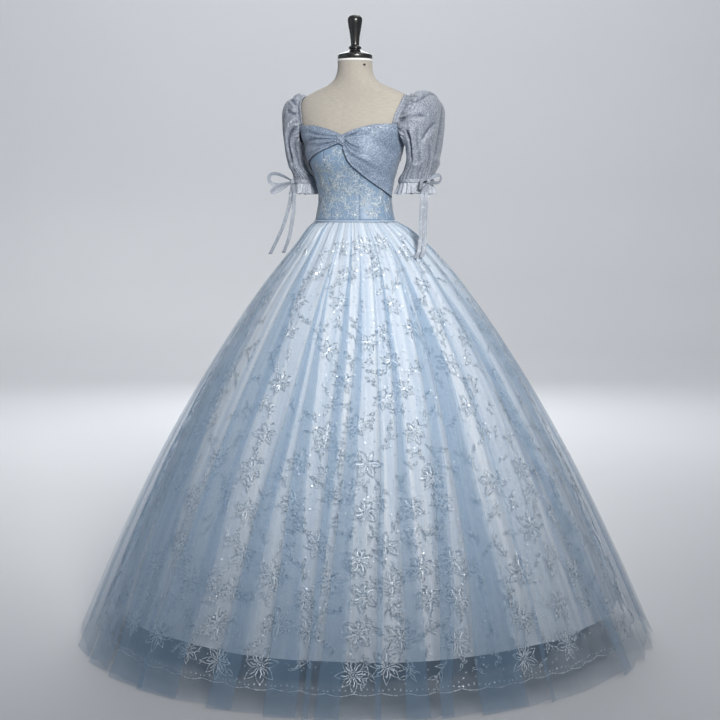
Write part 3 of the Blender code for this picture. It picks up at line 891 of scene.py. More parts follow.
def stitched(path: Array, width: float, rise: float) -> Motif:
    """A couched thread along a flat path: a low ridge.

    Args:
        path: Its flat points.
        width: Its width.
        rise: How far its crest stands off the cloth.

    Returns:
        The motif.
    """
    ahead = np.gradient(path, axis=0)
    ahead /= np.maximum(np.linalg.norm(ahead, axis=1, keepdims=True), 1e-9)
    side = np.stack([-ahead[:, 1], ahead[:, 0]], axis=1)
    run = np.concatenate([[0], np.cumsum(np.linalg.norm(np.diff(path, axis=0), axis=1))])
    n = len(path)
    points, thread = [], []
    for sign, lift in ((-1, 0.0), (0, rise), (1, 0.0)):
        flat = path + side * sign * width / 2
        points.append(np.column_stack([flat, np.full(n, lift)]))
        thread.append(np.column_stack([run, np.full(n, sign * width / 2)]))
    i = np.arange(n - 1)
    quads = np.column_stack([i + 1, n + i + 1, n + i, i])
    return Motif(np.concatenate(points), np.concatenate(thread), np.concatenate([quads, quads + n]))


def bead(x: float, y: float, radius: float, rise: float, tilt: Pair = (0.0, 0.0)) -> Motif:
    """A sewn bead or sequin: a low six-sided dome as three quads.

    Args:
        x: Its middle.
        y: Its middle.
        radius: Its radius.
        rise: Its height.
        tilt: How steeply it leans along each axis.

    Returns:
        The motif.
    """
    angles = np.arange(6) * math.pi / 3
    lean = radius * math.hypot(*tilt)
    dx, dy = radius * np.cos(angles), radius * np.sin(angles)
    rim = np.column_stack([x + dx, y + dy, 0.15 * rise + lean + tilt[0] * dx + tilt[1] * dy])
    points = np.vstack([rim, [x, y, lean + rise]])
    faces = np.array([[6, 0, 1, 2], [6, 2, 3, 4], [6, 4, 5, 0]])
    return Motif(points, points[:, :2] - [x, y], faces)


@dataclass(frozen=True)
class Needle:
    """The sizes of the embroidery's threads and beads."""

    cord: float = 0.0025
    inner: float = 0.0025  # the bugle bead inside each petal, or 0 for none
    rise: float = 0.001
    bead: float = 0.0021
    petals: tuple[int, int] = (6, 9)
    root: float = 0.12  # where a petal starts, as a share of the flower's radius
    slant: float = 0.45  # how steeply a sequin may lean
    nod: float = 0.12  # how steeply all of them lean up
    eyes: int = 5  # beads round the one in a flower's middle

    def disc(self, x: float, y: float, size: float, draw: Draw) -> Motif:
        """A sequin of some share of the usual size, which lies at its own slant."""
        slant = draw.uniform(-self.slant, self.slant, 2)
        tilt = float(slant[0]), float(slant[1] + self.nod)
        return bead(x, y, size * self.bead, 0.22 * self.bead, tilt)

    def loop(self, start: float, reach: float, half: float, width: float, points: int) -> Motif:
        """A pointed oval loop of thread, from its root to its tip and back.

        Args:
            start: How far its root is from the middle.
            reach: Its length.
            half: Half its greatest width.
            width: The thread's width.
            points: Points along each side.

        Returns:
            The motif, along +X.
        """
        q = np.linspace(0, 1, points)
        wide = half * np.sin(math.pi * q**0.85) ** 0.9
        out = np.column_stack([start + reach * q, wide])
        back = np.column_stack([start + reach * q, -wide])[::-1][1:]
        return stitched(np.vstack([out, back]), width, self.rise)

    def flower(self, radius: float, draw: Draw) -> tuple[Motif, Motif]:
        """A flower of narrow looped petals.

        Args:
            radius: Its radius.
            draw: The source of chance.

        Returns:
            Its threads and its beads.
        """
        petals = int(draw.integers(*self.petals))
        threads, beads = [], []
        spin = draw.uniform(0, math.tau)
        root = self.root * radius
        for i in range(petals):
            turn = spin + math.tau * (i + draw.uniform(-0.14, 0.14)) / petals
            reach = radius * draw.uniform(0.78, 1.06)
            widest = min(0.5 * reach * math.tan(math.pi / petals), 0.24 * reach)
            half = widest * draw.uniform(0.84, 1.0)
            threads.append(self.loop(root, reach - root, half, self.cord, 8).placed(0, 0, turn))
            if self.inner:
                along = np.linspace(1.8 * root, 0.66 * reach, 3)
                bugle = np.column_stack([along, np.array([0, 0.3, 0]) * half])
                beads.append(stitched(bugle, self.inner, 1.2 * self.rise).placed(0, 0, turn))
            beads.append(self.disc(*polar(reach, turn), 0.95, draw))
        beads.append(self.disc(0, 0, 1.4, draw))
        for i in range(self.eyes):
            turn = spin + i * math.tau / self.eyes
            beads.append(self.disc(*polar(0.13 * radius, turn), 0.8, draw))
        return Motif.joined(threads), Motif.joined(beads)

    def spray(self, length: float, leaves: int, draw: Draw) -> tuple[Motif, Motif]:
        """A curling stem with single looped leaves along it.

        Args:
            length: The stem's length.
            leaves: How many leaves it has besides the one at its tip.
            draw: The source of chance.

        Returns:
            Its threads and its beads, the stem leaving along +X.
        """
        bend = draw.choice([-1, 1]) * draw.uniform(0.8, 1.5)
        t = np.linspace(0, 1, 4 * leaves + 3)
        angle = bend * (t - 0.25) * 1.6 * np.cos(t * draw.uniform(0.0, 3.0))
        step = length / (len(t) - 1)
        stem = np.column_stack([np.cumsum(np.cos(angle)) * step, np.cumsum(np.sin(angle)) * step])
        stem -= stem[0]
        threads, beads = [stitched(stem, self.cord * 0.85, self.rise)], []
        vein = self.cord * 0.9
        for i in range(leaves):
            place = 3 + 4 * i
            side = (-1) ** i * math.copysign(1, bend)
            turn = angle[place] + side * draw.uniform(0.65, 1.0)
            size = min(length * 0.36, draw.uniform(8.0, 12.0) * self.cord)
            threads.append(self.loop(0, size, size * 0.2, vein, 6).placed(*stem[place], turn))
            beads.append(self.disc(*(stem[place] + polar(1.12 * size, turn)), 0.8, draw))
        threads.append(self.loop(0, size, size * 0.22, vein, 6).placed(*stem[-1], angle[-1]))
        return Motif.joined(threads), Motif.joined(beads)


Sewn = tuple[Motif, float, float]


@dataclass
class Needlework:
    """Threads and beads sewn on to a surface whose coordinates are a turn and a height."""

    surface: Surface
    clearance: float = 0.0008
    threads: list[Sewn] = field(default_factory=list)
    beads: list[Sewn] = field(default_factory=list)

    def sew(self, motifs: Iterable[Motif], turn: float, height: float) -> None:
        """Keep the threads and the beads of a motif for a place on the surface."""
        for kept, motif in zip((self.threads, self.beads), motifs):
            kept.append((motif, turn, height))

    def stretch(self, turn: Array, height: Array) -> tuple[Array, Array]:
        """Degrees of turn and metres of height to a metre of cloth at each place."""
        east = self.surface(turn + 0.2, height) - self.surface(turn - 0.2, height)
        north = self.surface(turn, height + 0.002) - self.surface(turn, height - 0.002)
        steps = np.linalg.norm(east, axis=-1) / 0.4, np.linalg.norm(north, axis=-1) / 0.004
        return tuple(1 / np.maximum(step, 1e-6) for step in steps)

    def piece(self, name: str, sewn: Sequence[Sewn]) -> Object:
        """Motifs as one piece laid on the surface.

        Args:
            name: The piece's name.
            sewn: The threads or the beads.

        Returns:
            The object, with its thread coordinates.
        """
        places, threads, faces, total = [], [], [], 0
        for motif, turn, height in sewn:
            per_turn, per_height = self.stretch(np.array(turn), np.array(height))
            turns = turn + motif.points[:, 0] * per_turn
            heights = height + motif.points[:, 1] * per_height
            places.append(np.column_stack([turns, heights, motif.points[:, 2]]))
            threads.append(motif.thread)
            faces.append(motif.faces + total)
            total += len(motif.points)
        turns, heights, lift = np.concatenate(places).T
        normal = normals_of(self.surface, turns, heights, (0.15, 0.0015))
        points = self.surface(turns, heights) + normal * (lift + self.clearance)[:, None]
        mesh = bpy.data.meshes.new(name)
        quads = np.concatenate(faces)
        mesh.from_pydata(points.tolist(), [], quads.tolist())
        layer = mesh.uv_layers.new(name="cloth")
        layer.data.foreach_set("uv", np.concatenate(threads)[quads.ravel()].ravel())
        return linked(name, mesh)


# ---------------- the dress form
@dataclass(frozen=True)
class DressForm:
    """The covered form, its neck cap and its stand."""

    rings: tuple = (
        (0.824, 0.104, 0.066, 0.08, 2.1), (0.836, 0.126, 0.086, 0.1, 2.1),
        (0.924, 0.148, 0.098, 0.113, 2.1), (1.024, 0.146, 0.098, 0.11, 2.1),
        (1.084, 0.126, 0.089, 0.098, 2.1), (1.144, 0.106, 0.08, 0.088, 2.1),
        (1.204, 0.095, 0.075, 0.081, 2.1), (1.254, 0.103, 0.086, 0.085, 2.2),
        (1.304, 0.118, 0.101, 0.091, 2.3), (1.349, 0.131, 0.101, 0.095, 2.4),
        (1.404, 0.149, 0.092, 0.098, 2.5), (1.444, 0.155, 0.076, 0.098, 2.4),
        (1.464, 0.15, 0.063, 0.092, 2.3), (1.477, 0.139, 0.053, 0.084, 2.2),
        (1.491, 0.112, 0.047, 0.07, 2.1), (1.504, 0.08, 0.045, 0.06, 2.0),
        (1.519, 0.059, 0.044, 0.053, 2.0), (1.539, 0.049, 0.044, 0.048, 2.0),
        (1.573, 0.046, 0.045, 0.046, 2.0),
    )
    levels: tuple = ((0.824, 0.836, 5), (0.845, 1.46, 66), (1.467, 1.573, 30))
    cup: tuple = (0.008, 0.062, 0.036, 1.319, 0.042)
    cap: tuple = (
        (0.0, 1.6905), (0.0075, 1.6899), (0.013, 1.688), (0.0175, 1.6845), (0.0196, 1.68),
        (0.0198, 1.674), (0.019, 1.668), (0.0166, 1.654), (0.014, 1.64), (0.012, 1.625),
        (0.0113, 1.613), (0.0118, 1.609), (0.015, 1.6075), (0.017, 1.6055), (0.0176, 1.6028),
        (0.0166, 1.6008), (0.0136, 1.5996), (0.0132, 1.598), (0.015, 1.5965), (0.024, 1.593),
        (0.036, 1.589), (0.044, 1.5858), (0.0464, 1.5842), (0.0468, 1.5825), (0.0468, 1.5765),
        (0.0462, 1.5748), (0.044, 1.574), (0.0, 1.574),
    )
    band: tuple = (
        (1.5675, 0.0004), (1.568, 0.0011), (1.57, 0.0013), (1.5722, 0.0012), (1.573, 0.0004)
    )
    screw_place: Pair = (52.0, 1.556)
    seams: tuple = (("front", 0.0), ("side_left", 90.0), ("back", 180.0), ("side_right", -90.0))

    @cached_property
    def column(self) -> dict[str, Column]:
        """The form's measures at each height."""
        return columns_of(self.rings, "half_width front back squareness")

    def point(self, turn: Array, height: Array, ease: Array | float = 0.0) -> Array:
        """Points on the form, or on cloth that lies over it by its ease.

        Args:
            turn: Turns, in degrees.
            height: Heights.
            ease: How far the cloth stands off the form.

        Returns:
            The points.
        """
        turn, height = np.broadcast_arrays(turn, height)
        angle = np.radians(turn)
        east, south = np.sin(angle), -np.cos(angle)
        front = south < 0
        half, power = self.column["half_width"](height), self.column["squareness"](height)
        depth = np.where(front, self.column["front"](height), self.column["back"](height))
        radius = (np.abs(east) / half) ** power + (np.abs(south) / depth) ** power
        radius = radius ** (-1 / power) + ease
        x, y = radius * east, radius * south
        full, spread, width, level, rise = self.cup
        bust = full * np.exp(-(((np.abs(x) - spread) / width) ** 2))
        bust = bust * np.exp(-(((height - level) / rise) ** 2))
        y = np.where(front, y - bust * -south, y)
        return np.stack([x, AXIS_Y + y, height], axis=-1)

    def build(self) -> None:
        """Make the form's pieces and dress its stand."""
        heights = np.concatenate([np.linspace(*level) for level in self.levels])
        grid = self.point(around(129)[None, :], heights[:, None])
        floor = self.closing(grid[:1], (0.0005, 0.35, 0.7, 0.94))
        roof = self.closing(grid[-1:], (0.9, 0.4, 0.0005))
        cover = woven("form_cover", np.concatenate([*floor, grid, *roof]), closed=True, ruler=40)
        enter(cover, Finishes.LINEN, "form_torso")
        cap = lathed("neck_cap", self.cap, (0.0, AXIS_Y), 64)
        enter(cap, Finishes.LACQUER, "form_neck_cap")
        rows = np.stack([self.point(around(97), np.full(97, z), ease) for z, ease in self.band])
        enter(woven("neck_ring", rows, closed=True, ruler=2), Finishes.NECK_RING)
        self.screw()
        for name, turn in self.seams:
            path = self.point(np.full(120, turn), np.linspace(0.84, 1.566, 120), 0.0001)
            enter(rolled(f"cover_seam_{name}", path, 0.0007, 6), Finishes.LINEN)
        for node, finish in (("form_pole", Finishes.STEEL), ("form_base", Finishes.IRON)):
            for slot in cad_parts[node].material_slots:
                slot.material = finish.material()
        log.info("dress form: cover, cap, ring, screw, seams, pole and base")

    @staticmethod
    def closing(ring: Array, shares: Sequence[float]) -> list[Array]:
        """Smaller copies of an end ring, by the shares given, that close the cover."""
        middle = ring.mean(axis=1, keepdims=True)
        return [middle + (ring - middle) * share for share in shares]

    def screw(self) -> None:
        """The small black screw at the side of the neck."""
        turn, height = self.screw_place
        seat = self.point(np.array(turn), np.array(height))
        outward = Vector(seat - np.array([0, AXIS_Y, height])).normalized()
        facing = outward.to_track_quat("Z", "Y").to_matrix()
        shape = bmesh.new()
        for wide, narrow, depth in ((0.003, 0.0026, 0.003), (0.0018, 0.0016, 0.0044)):
            bmesh.ops.create_cone(
                shape, cap_ends=True, segments=20, radius1=wide, radius2=narrow, depth=depth
            )
        bmesh.ops.rotate(shape, verts=shape.verts, cent=(0, 0, 0), matrix=facing)
        bmesh.ops.translate(shape, verts=shape.verts, vec=Vector(seat) + outward * 0.0016)
        enter(settled("neck_screw", shape), Finishes.LACQUER)


# ---------------- bodice
@dataclass(frozen=True)
class Bodice:
    """The fitted bodice: five panels, their seams, the neckline's edge and the embroidery."""

    form: DressForm
    ease: float = 0.0041
    wall: float = 0.0009
    cloth_per_degree: float = 0.0026
    cloth_length: float = 0.265
    top: tuple = (
        (0, 1.368), (16, 1.38), (34, 1.39), (50, 1.3955), (64, 1.3955), (72, 1.394), (80, 1.367),
        (90, 1.351), (100, 1.367), (110, 1.394), (124, 1.394), (150, 1.386), (180, 1.382),
    )
    panels: tuple = (
        ("center_front", -28, 28), ("side_front_left", 28, 72), ("back_left", 72, 180),
        ("back_right", -180, -72), ("side_front_right", -72, -28),
    )
    needle: Needle = Needle(cord=0.0016, inner=0.0, rise=0.0008, bead=0.001, petals=(5, 8))
    flowers: tuple = (
        (4, 1.181, 0.033), (-27, 1.196, 0.026), (32, 1.19, 0.028), (11, 1.232, 0.026),
        (-16, 1.24, 0.024), (-14, 1.16, 0.014), (20, 1.16, 0.014), (-40, 1.164, 0.016),
        (46, 1.163, 0.016), (-64, 1.164, 0.017), (44, 1.214, 0.019), (-6, 1.206, 0.015),
        (-34, 1.226, 0.017), (19, 1.262, 0.018), (-8, 1.262, 0.016), (5, 1.283, 0.029),
        (-20, 1.292, 0.022), (-2, 1.322, 0.019), (28, 1.236, 0.022), (-42, 1.246, 0.023),
        (56, 1.186, 0.026), (-52, 1.19, 0.024), (-44, 1.285, 0.018), (64, 1.206, 0.018),
        (82, 1.18, 0.026), (-76, 1.222, 0.027), (-84, 1.176, 0.022), (104, 1.222, 0.027),
        (-108, 1.2, 0.028), (126, 1.184, 0.026), (-134, 1.236, 0.027), (-146, 1.18, 0.024),
        (150, 1.226, 0.028), (172, 1.18, 0.025), (-168, 1.216, 0.026), (176, 1.262, 0.027),
        (122, 1.276, 0.026), (-120, 1.284, 0.026), (148, 1.31, 0.027), (-150, 1.306, 0.026),
        (92, 1.3, 0.022), (-94, 1.306, 0.022), (178, 1.34, 0.026), (120, 1.346, 0.022),
        (-122, 1.35, 0.022),
    )

    def edge(self, turn: Array) -> Array:
        """The height of the bodice's upper edge at each turn."""
        return columns_of(self.top, "height")["height"](np.abs(turn))

    def surface(self, turn: Array, height: Array) -> Array:
        """The bodice's outside."""
        return self.form.point(turn, height, self.ease)

    def build(self) -> None:
        """Make and dress the bodice."""
        low = WAIST + 0.0002
        for name, start, end in self.panels:
            turns = np.linspace(start + 0.04, end - 0.04, max(12, int((end - start) / 2)) + 1)
            heights = low + np.linspace(0, 1, 41)[:, None] * (self.edge(turns)[None, :] - low)
            beside = np.minimum(np.abs(turns - start), np.abs(turns - end))[None, :]
            ease = self.ease - 0.0003 * np.exp(-((beside / 0.8) ** 2)) + 0 * heights
            grid = self.form.point(turns[None, :], heights, ease)
            panel = woven(f"bodice_panel_{name}", grid, wall=self.wall, ruler=40)
            enter(panel, Finishes.BODICE_SATIN, f"bodice_{name}")
            width = round(self.cloth_per_degree * (end - start), 3)
            cut(panel, width, self.cloth_length, Held.STRETCHED, "form_torso")
        self.embroider()
        turns = around(361)
        path = self.form.point(turns, self.edge(turns) + 0.0004, self.ease - 0.0006)
        enter(rolled("neckline_edge", path[:-1], 0.0015, closed=True), Finishes.RIBBON)
        seam = self.form.point(turns, np.full(361, WAIST - 0.0008), self.ease + 0.0016)
        enter(rolled("waist_seam_piping", seam[:-1], 0.0018, closed=True), Finishes.PIPING)
        log.info("bodice: five panels, embroidery, neckline edge and waist piping")

    def embroider(self) -> None:
        """Sew flowers over the front, sides and back, each with up to two sprays."""
        draw = np.random.default_rng(31)
        work = Needlework(self.surface, 0.0006)
        for turn, height, radius in self.flowers:
            work.sew(self.needle.flower(radius, draw), turn, height)
            first = draw.uniform(0, math.tau)
            for i in range(2):
                away = first + i * 2.6 + draw.uniform(-0.4, 0.4)
                x, y = polar(radius, away)
                if WAIST + 0.012 < height + 1.9 * y < 1.366:
                    spray = self.needle.spray(radius * draw.uniform(1.0, 1.5), 2, draw)
                    placed = (motif.placed(1.04 * x, 1.04 * y, away) for motif in spray)
                    work.sew(placed, turn, height)
        enter(work.piece("bodice_embroidery", work.threads), Finishes.BODICE_THREAD)
        enter(work.piece("bodice_beads", work.beads), Finishes.SEQUIN)


# ---------------- crossed drape
@dataclass(frozen=True)
class DrapeHalf:
    """One half of the drape: its lower and upper edges, its folds, its cut and the radius of the
    near-black roll under its lower edge, a painted shadow line.
    """

    side: Side
    edges: tuple
    creases: tuple[Crease, ...]
    cloth_length: float
    # The radius of the painted shadow roll under the lower edge.
    hem: float

    def points(self, form: DressForm, ease: float) -> tuple[Array, Array]:
        """The points of the half.

        Args:
            form: What it lies over.
            ease: How far it stands off that where it is flat.

        Returns:
            The grid, and how deep in a fold each point lies.
        """
        column = columns_of(self.edges, "lower upper")
        first, last = self.edges[0][0], self.edges[-1][0]
        turns = first + (last - first) * np.linspace(0, 1, 121) ** 1.35
        turn, part = np.meshgrid(turns, np.linspace(0, 1, 93))
        heights = column["lower"](turn) + part * (column["upper"](turn) - column["lower"](turn))
        across = (turn - first) * 0.0023
        lift = sum(crease.rise(across, heights) for crease in self.creases)
        beside = np.exp(-(((turn - first) / 30) ** 2))
        ease = ease + 0.0028 * beside + np.maximum(1.3 * lift, -0.0024 - 0.0026 * beside)
        ease += 0.001 * np.exp(-(((part - 0.015) / 0.03) ** 2))
        grid = form.point(self.side.value * turn, heights, ease)
        # How deep in a fold each point lies, which the mesh finish turns into painted shade.
        sunk = np.clip((-lift - 0.0008) / 0.0034, 0, 1) ** 0.8
        return grid[:, :: self.side.value], sunk[:, :: self.side.value]


DRAPE_HALVES = (
    DrapeHalf(
        Side.LEFT,
        (
            (4, 1.332, 1.37), (10, 1.304, 1.375), (29, 1.267, 1.3875), (51, 1.2395, 1.3955),
            (70, 1.222, 1.3935), (80, 1.214, 1.367), (92, 1.207, 1.351),
        ),
        Crease.table((
            (0.0, 1.3665, 0.06, 1.386, 0.004, 0.0022), (0.002, 1.361, 0.05, 1.376, 0.002, -0.0026),
            (0.006, 1.3585, 0.058, 1.364, 0.0042, 0.0026, 0.002),
            (0.004, 1.3545, 0.054, 1.333, 0.0026, -0.0052, -0.004),
            (0.008, 1.35, 0.06, 1.325, 0.005, 0.003, -0.003),
            (0.003, 1.349, 0.022, 1.335, 0.002, -0.0036),
            (0.002, 1.344, 0.014, 1.331, 0.0018, -0.0028),
            (0.012, 1.335, 0.075, 1.301, 0.005, 0.0022, -0.004),
            (0.02, 1.366, 0.078, 1.371, 0.0036, -0.0018),
            (0.018, 1.32, 0.09, 1.283, 0.006, -0.0018), (0.05, 1.315, 0.16, 1.27, 0.02, 0.003),
            (0.1, 1.355, 0.17, 1.328, 0.018, -0.0018), (0.09, 1.278, 0.17, 1.242, 0.009, -0.0016),
            (0.11, 1.382, 0.175, 1.37, 0.008, 0.0016),
        )),
        0.22,
        0.0011,
    ),
    DrapeHalf(
        Side.RIGHT,
        (
            (4, 1.347, 1.37), (10, 1.342, 1.375), (29, 1.327, 1.3875), (51, 1.309, 1.3955),
            (70, 1.293, 1.3935), (80, 1.282, 1.367), (92, 1.268, 1.351),
        ),
        Crease.table((
            (0.0, 1.367, 0.11, 1.388, 0.0045, 0.002),
            (0.003, 1.3625, 0.1, 1.3765, 0.0026, -0.0024, -0.002),
            (0.004, 1.3595, 0.09, 1.366, 0.0036, 0.0026),
            (0.003, 1.3565, 0.11, 1.358, 0.0026, -0.0028, 0.002),
            (0.004, 1.3535, 0.1, 1.349, 0.0034, 0.0026),
            (0.004, 1.351, 0.085, 1.3385, 0.0024, -0.0028),
            (0.005, 1.349, 0.09, 1.327, 0.0032, 0.0024), (0.02, 1.345, 0.1, 1.32, 0.003, -0.0016),
            (0.06, 1.378, 0.16, 1.38, 0.006, -0.0014), (0.09, 1.352, 0.18, 1.342, 0.011, -0.0018),
            (0.08, 1.335, 0.17, 1.312, 0.01, 0.0018),
        )),
        0.15,
        0.0007,
    ),
)


@dataclass(frozen=True)
class BustDrape:
    """The crossed drape: two gathered halves and the knot that draws them together."""

    form: DressForm
    ease: float = 0.0078
    wall: float = 0.0012
    cloth_width: float = 0.24
    halves: tuple[DrapeHalf, DrapeHalf] = DRAPE_HALVES

    def build(self) -> None:
        """Make and dress the drape."""
        for half in self.halves:
            word = half.side.word
            grid, sunk = half.points(self.form, self.ease)
            piece = woven(f"bust_drape_{word}", grid, wall=self.wall, ruler=46, furrow=sunk)
            enter(piece, Finishes.DRAPE_MESH, f"drape_{word}")
            cut(piece, self.cloth_width, half.cloth_length, Held.GATHERED, "bodice_center_front")
            # A near-black roll just under and behind the lower edge: a painted shadow line.
            edge = grid[0] + np.array([0.0, 0.0008, -0.0004])
            enter(rolled(f"drape_edge_{word}", edge, half.hem, 6), Finishes.NAVY)
        self.knot()
        log.info("bust drape: two halves, their edges and the knot")

    def knot(self) -> None:
        """The knot, where one half's gathers twist over and run on into the other's."""
        middle = middle_of("drape_knot")
        along = np.linspace(-1, 1, 41)[:, None]
        angles = np.linspace(0, math.tau, 73)[None, :]
        flare = np.where(along > 0, 0.0052 * along**2, -0.0008 * along**2)
        ends = np.maximum(1 - np.abs(along) ** 8, 0.0001) ** 0.5
        tall = (0.0118 + flare) * ends
        deep = 0.0058 * (1 - 0.3 * along**2) * ends
        twist = angles + 0.55 * along
        fold = 1 + 0.15 * np.cos(6 * twist) + 0.07 * np.cos(10 * twist + 1.3)
        x = middle[0] + 0.0112 * along + 0.0016 * np.sin(angles)
        y = middle[1] + 0.0015 - deep * fold * np.cos(angles)
        z = middle[2] + 0.001 - 0.0036 * np.maximum(along, 0)
        z = z + tall * (0.94 + 0.06 * fold) * np.sin(angles)
        grid = np.stack(np.broadcast_arrays(x, y, z), axis=-1)
        wrap = woven("drape_knot_wrap", grid, closed=True, ruler=20)
        enter(wrap, Finishes.DRAPE_MESH, "drape_knot")


# ---------------- sleeves
@dataclass(frozen=True)
class Sleeve:
    """A puff sleeve with its strap, tie and frill. Its folds run over degrees and 240ths."""

    side: Side
    form: DressForm
    rings: tuple = (
        (0.0, 0.154, 1.481, 0.145, 1.355, 0.01, 0.06, 0.026),
        (0.1, 0.18, 1.4875, 0.148, 1.347, 0.014, 0.073, 0.026),
        (0.22, 0.2085, 1.478, 0.15, 1.336, 0.021, 0.081, 0.022),
        (0.36, 0.2265, 1.447, 0.15, 1.322, 0.028, 0.086, 0.016),
        (0.5, 0.227, 1.407, 0.148, 1.31, 0.034, 0.087, 0.01),
        (0.68, 0.222, 1.354, 0.142, 1.292, 0.041, 0.083, 0.004),
        (0.84, 0.214, 1.302, 0.132, 1.274, 0.046, 0.076, 0.0),
        (0.96, 0.1992, 1.257, 0.1152, 1.2565, 0.05, 0.0662, 0.0),
        (1.0, 0.199, 1.2495, 0.115, 1.2495, 0.05, 0.066, 0.0),
    )
    right_slack: tuple = ((0.0, 0.0), (0.3, 0.017), (0.6, 0.018), (1.0, 0.01))
    wall: float = 0.001
    trim_wall: float = 0.0007
    strap_wall: float = 0.0009
    frill_drop: float = 0.033
    frill_flare: float = 0.011
    frill_wave: float = 0.0056
    close: float = 0.0095
    tie_rows: tuple = (
        (-0.005, 0.0), (-0.0042, 0.0006), (-0.002, 0.0009), (0.0, 0.0007), (0.002, 0.0009),
        (0.0042, 0.0006), (0.005, 0.0),
    )
    folds: tuple[Crease, ...] = Crease.table((
        (10, 80, -12, 216, 8, -0.0034, 5), (34, 66, 24, 202, 9, 0.0036, 4),
        (58, 86, 52, 216, 8, -0.0032, -5), (84, 70, 90, 198, 9, 0.0034, 5),
        (112, 82, 120, 210, 9, -0.003, 4), (140, 72, 150, 200, 10, 0.003, 4),
        (172, 86, 176, 210, 9, -0.0026, -4), (204, 80, 208, 202, 9, 0.0026, 4),
        (20, 30, 62, 66, 6, -0.0036, 3), (100, 24, 136, 76, 6, -0.0034, -3),
        (-8, 196, 40, 206, 7, 0.003, 4), (60, 212, 116, 206, 6, -0.0028, 3),
        (110, 190, 168, 200, 7, 0.0026, 3), (-30, 40, 8, 62, 7, -0.0032, -3),
    ))
    left_folds: tuple[Crease, ...] = Crease.table((
        (-98, 17, -56, 86, 4.5, -0.0062, 4), (-90, 36, -58, 108, 9, 0.0042, 4),
        (-66, 137, -26, 120, 4.5, -0.005, -5), (-60, 160, -22, 146, 9, 0.0034, -4),
        (-114, 60, -100, 178, 3.8, -0.0056, 3), (-102, 72, -90, 186, 6, 0.004, 3),
        (-86, 100, -78, 168, 6, -0.0026, 3), (-74, 172, -58, 216, 5, -0.003, 3),
        (-44, 160, -34, 214, 6, -0.0026, -3), (-96, 196, -60, 204, 6, 0.003, 3),
        (-62, 24, -30, 44, 4.5, -0.0036, 4), (-76, 12, -58, 36, 4, 0.0034, 2),
    ))
    right_folds: tuple[Crease, ...] = Crease.table((
        (-114, 26, -86, 206, 4.5, -0.0052, 6), (-98, 34, -72, 196, 8, 0.0036, 5),
        (-60, 72, -64, 192, 6, -0.0034, 4), (-40, 60, -48, 200, 7, 0.0034, -4),
        (-24, 96, -30, 210, 6, -0.0028, 3), (-140, 60, -124, 196, 6, -0.0034, 4),
        (-90, 196, -52, 208, 6, 0.003, 3), (-80, 16, -62, 50, 4.5, -0.0038, 3),
        (-52, 14, -30, 46, 4.5, -0.0036, 3), (-66, 12, -46, 42, 4, 0.0034, 2),
    ))

    @cached_property
    def column(self) -> dict[str, Column]:
        """The sleeve's measures at each place."""
        names = "outer_x outer_z inner_x inner_z centre_y half_depth lean"
        return columns_of(self.rings, names) | columns_of(self.right_slack, "slack")

    def point(self, place: Array, turn: Array, out: Array | float = 0.0) -> Array:
        """Points on the sleeve, drawn on her left.

        Args:
            place: From 0 at the armhole to 1 at the tie.
            turn: Degrees round it, 0 at the outer top.
            out: How far outside the sleeve.

        Returns:
            The points.
        """
        place, turn = np.broadcast_arrays(place, turn)
        c = {name: column(place) for name, column in self.column.items()}
        less = c["slack"] if self.side is Side.RIGHT else 0.0
        outer = np.stack([c["outer_x"] - less, c["lean"], c["outer_z"]], axis=-1)
        inner = np.stack([c["inner_x"], -c["lean"], c["inner_z"]], axis=-1)
        centre = (outer + inner) / 2
        centre[..., 1] += AXIS_Y + c["centre_y"]
        angle = np.radians(turn)
        arm = (outer - inner) / 2 * np.cos(angle)[..., None]
        arm[..., 1] += c["half_depth"] * np.sin(angle)
        length = np.maximum(np.linalg.norm(arm, axis=-1), 1e-6)
        points = centre + arm * (1 + np.asarray(out) / length)[..., None]
        points[..., 0] -= self.close * np.exp(-(((turn + 108) / 36) ** 2) - (place / 0.22) ** 2)
        return points

    def worn(self, grid: Array) -> Array:
        """The points, or the shares at them, on the sleeve's own side, still facing out.

        Args:
            grid: Points or shares of the left sleeve.

        Returns:
            Those of this sleeve.
        """
        if self.side is Side.LEFT:
            return grid
        flipped = grid[:, ::-1].copy()
        if grid.ndim == 3:
            flipped[..., 0] *= -1
        return flipped

    def wander(self, number: int, *waves: int) -> Wander:
        """An uneven wave that differs from side to side."""
        return Wander(number + self.side.value, waves)

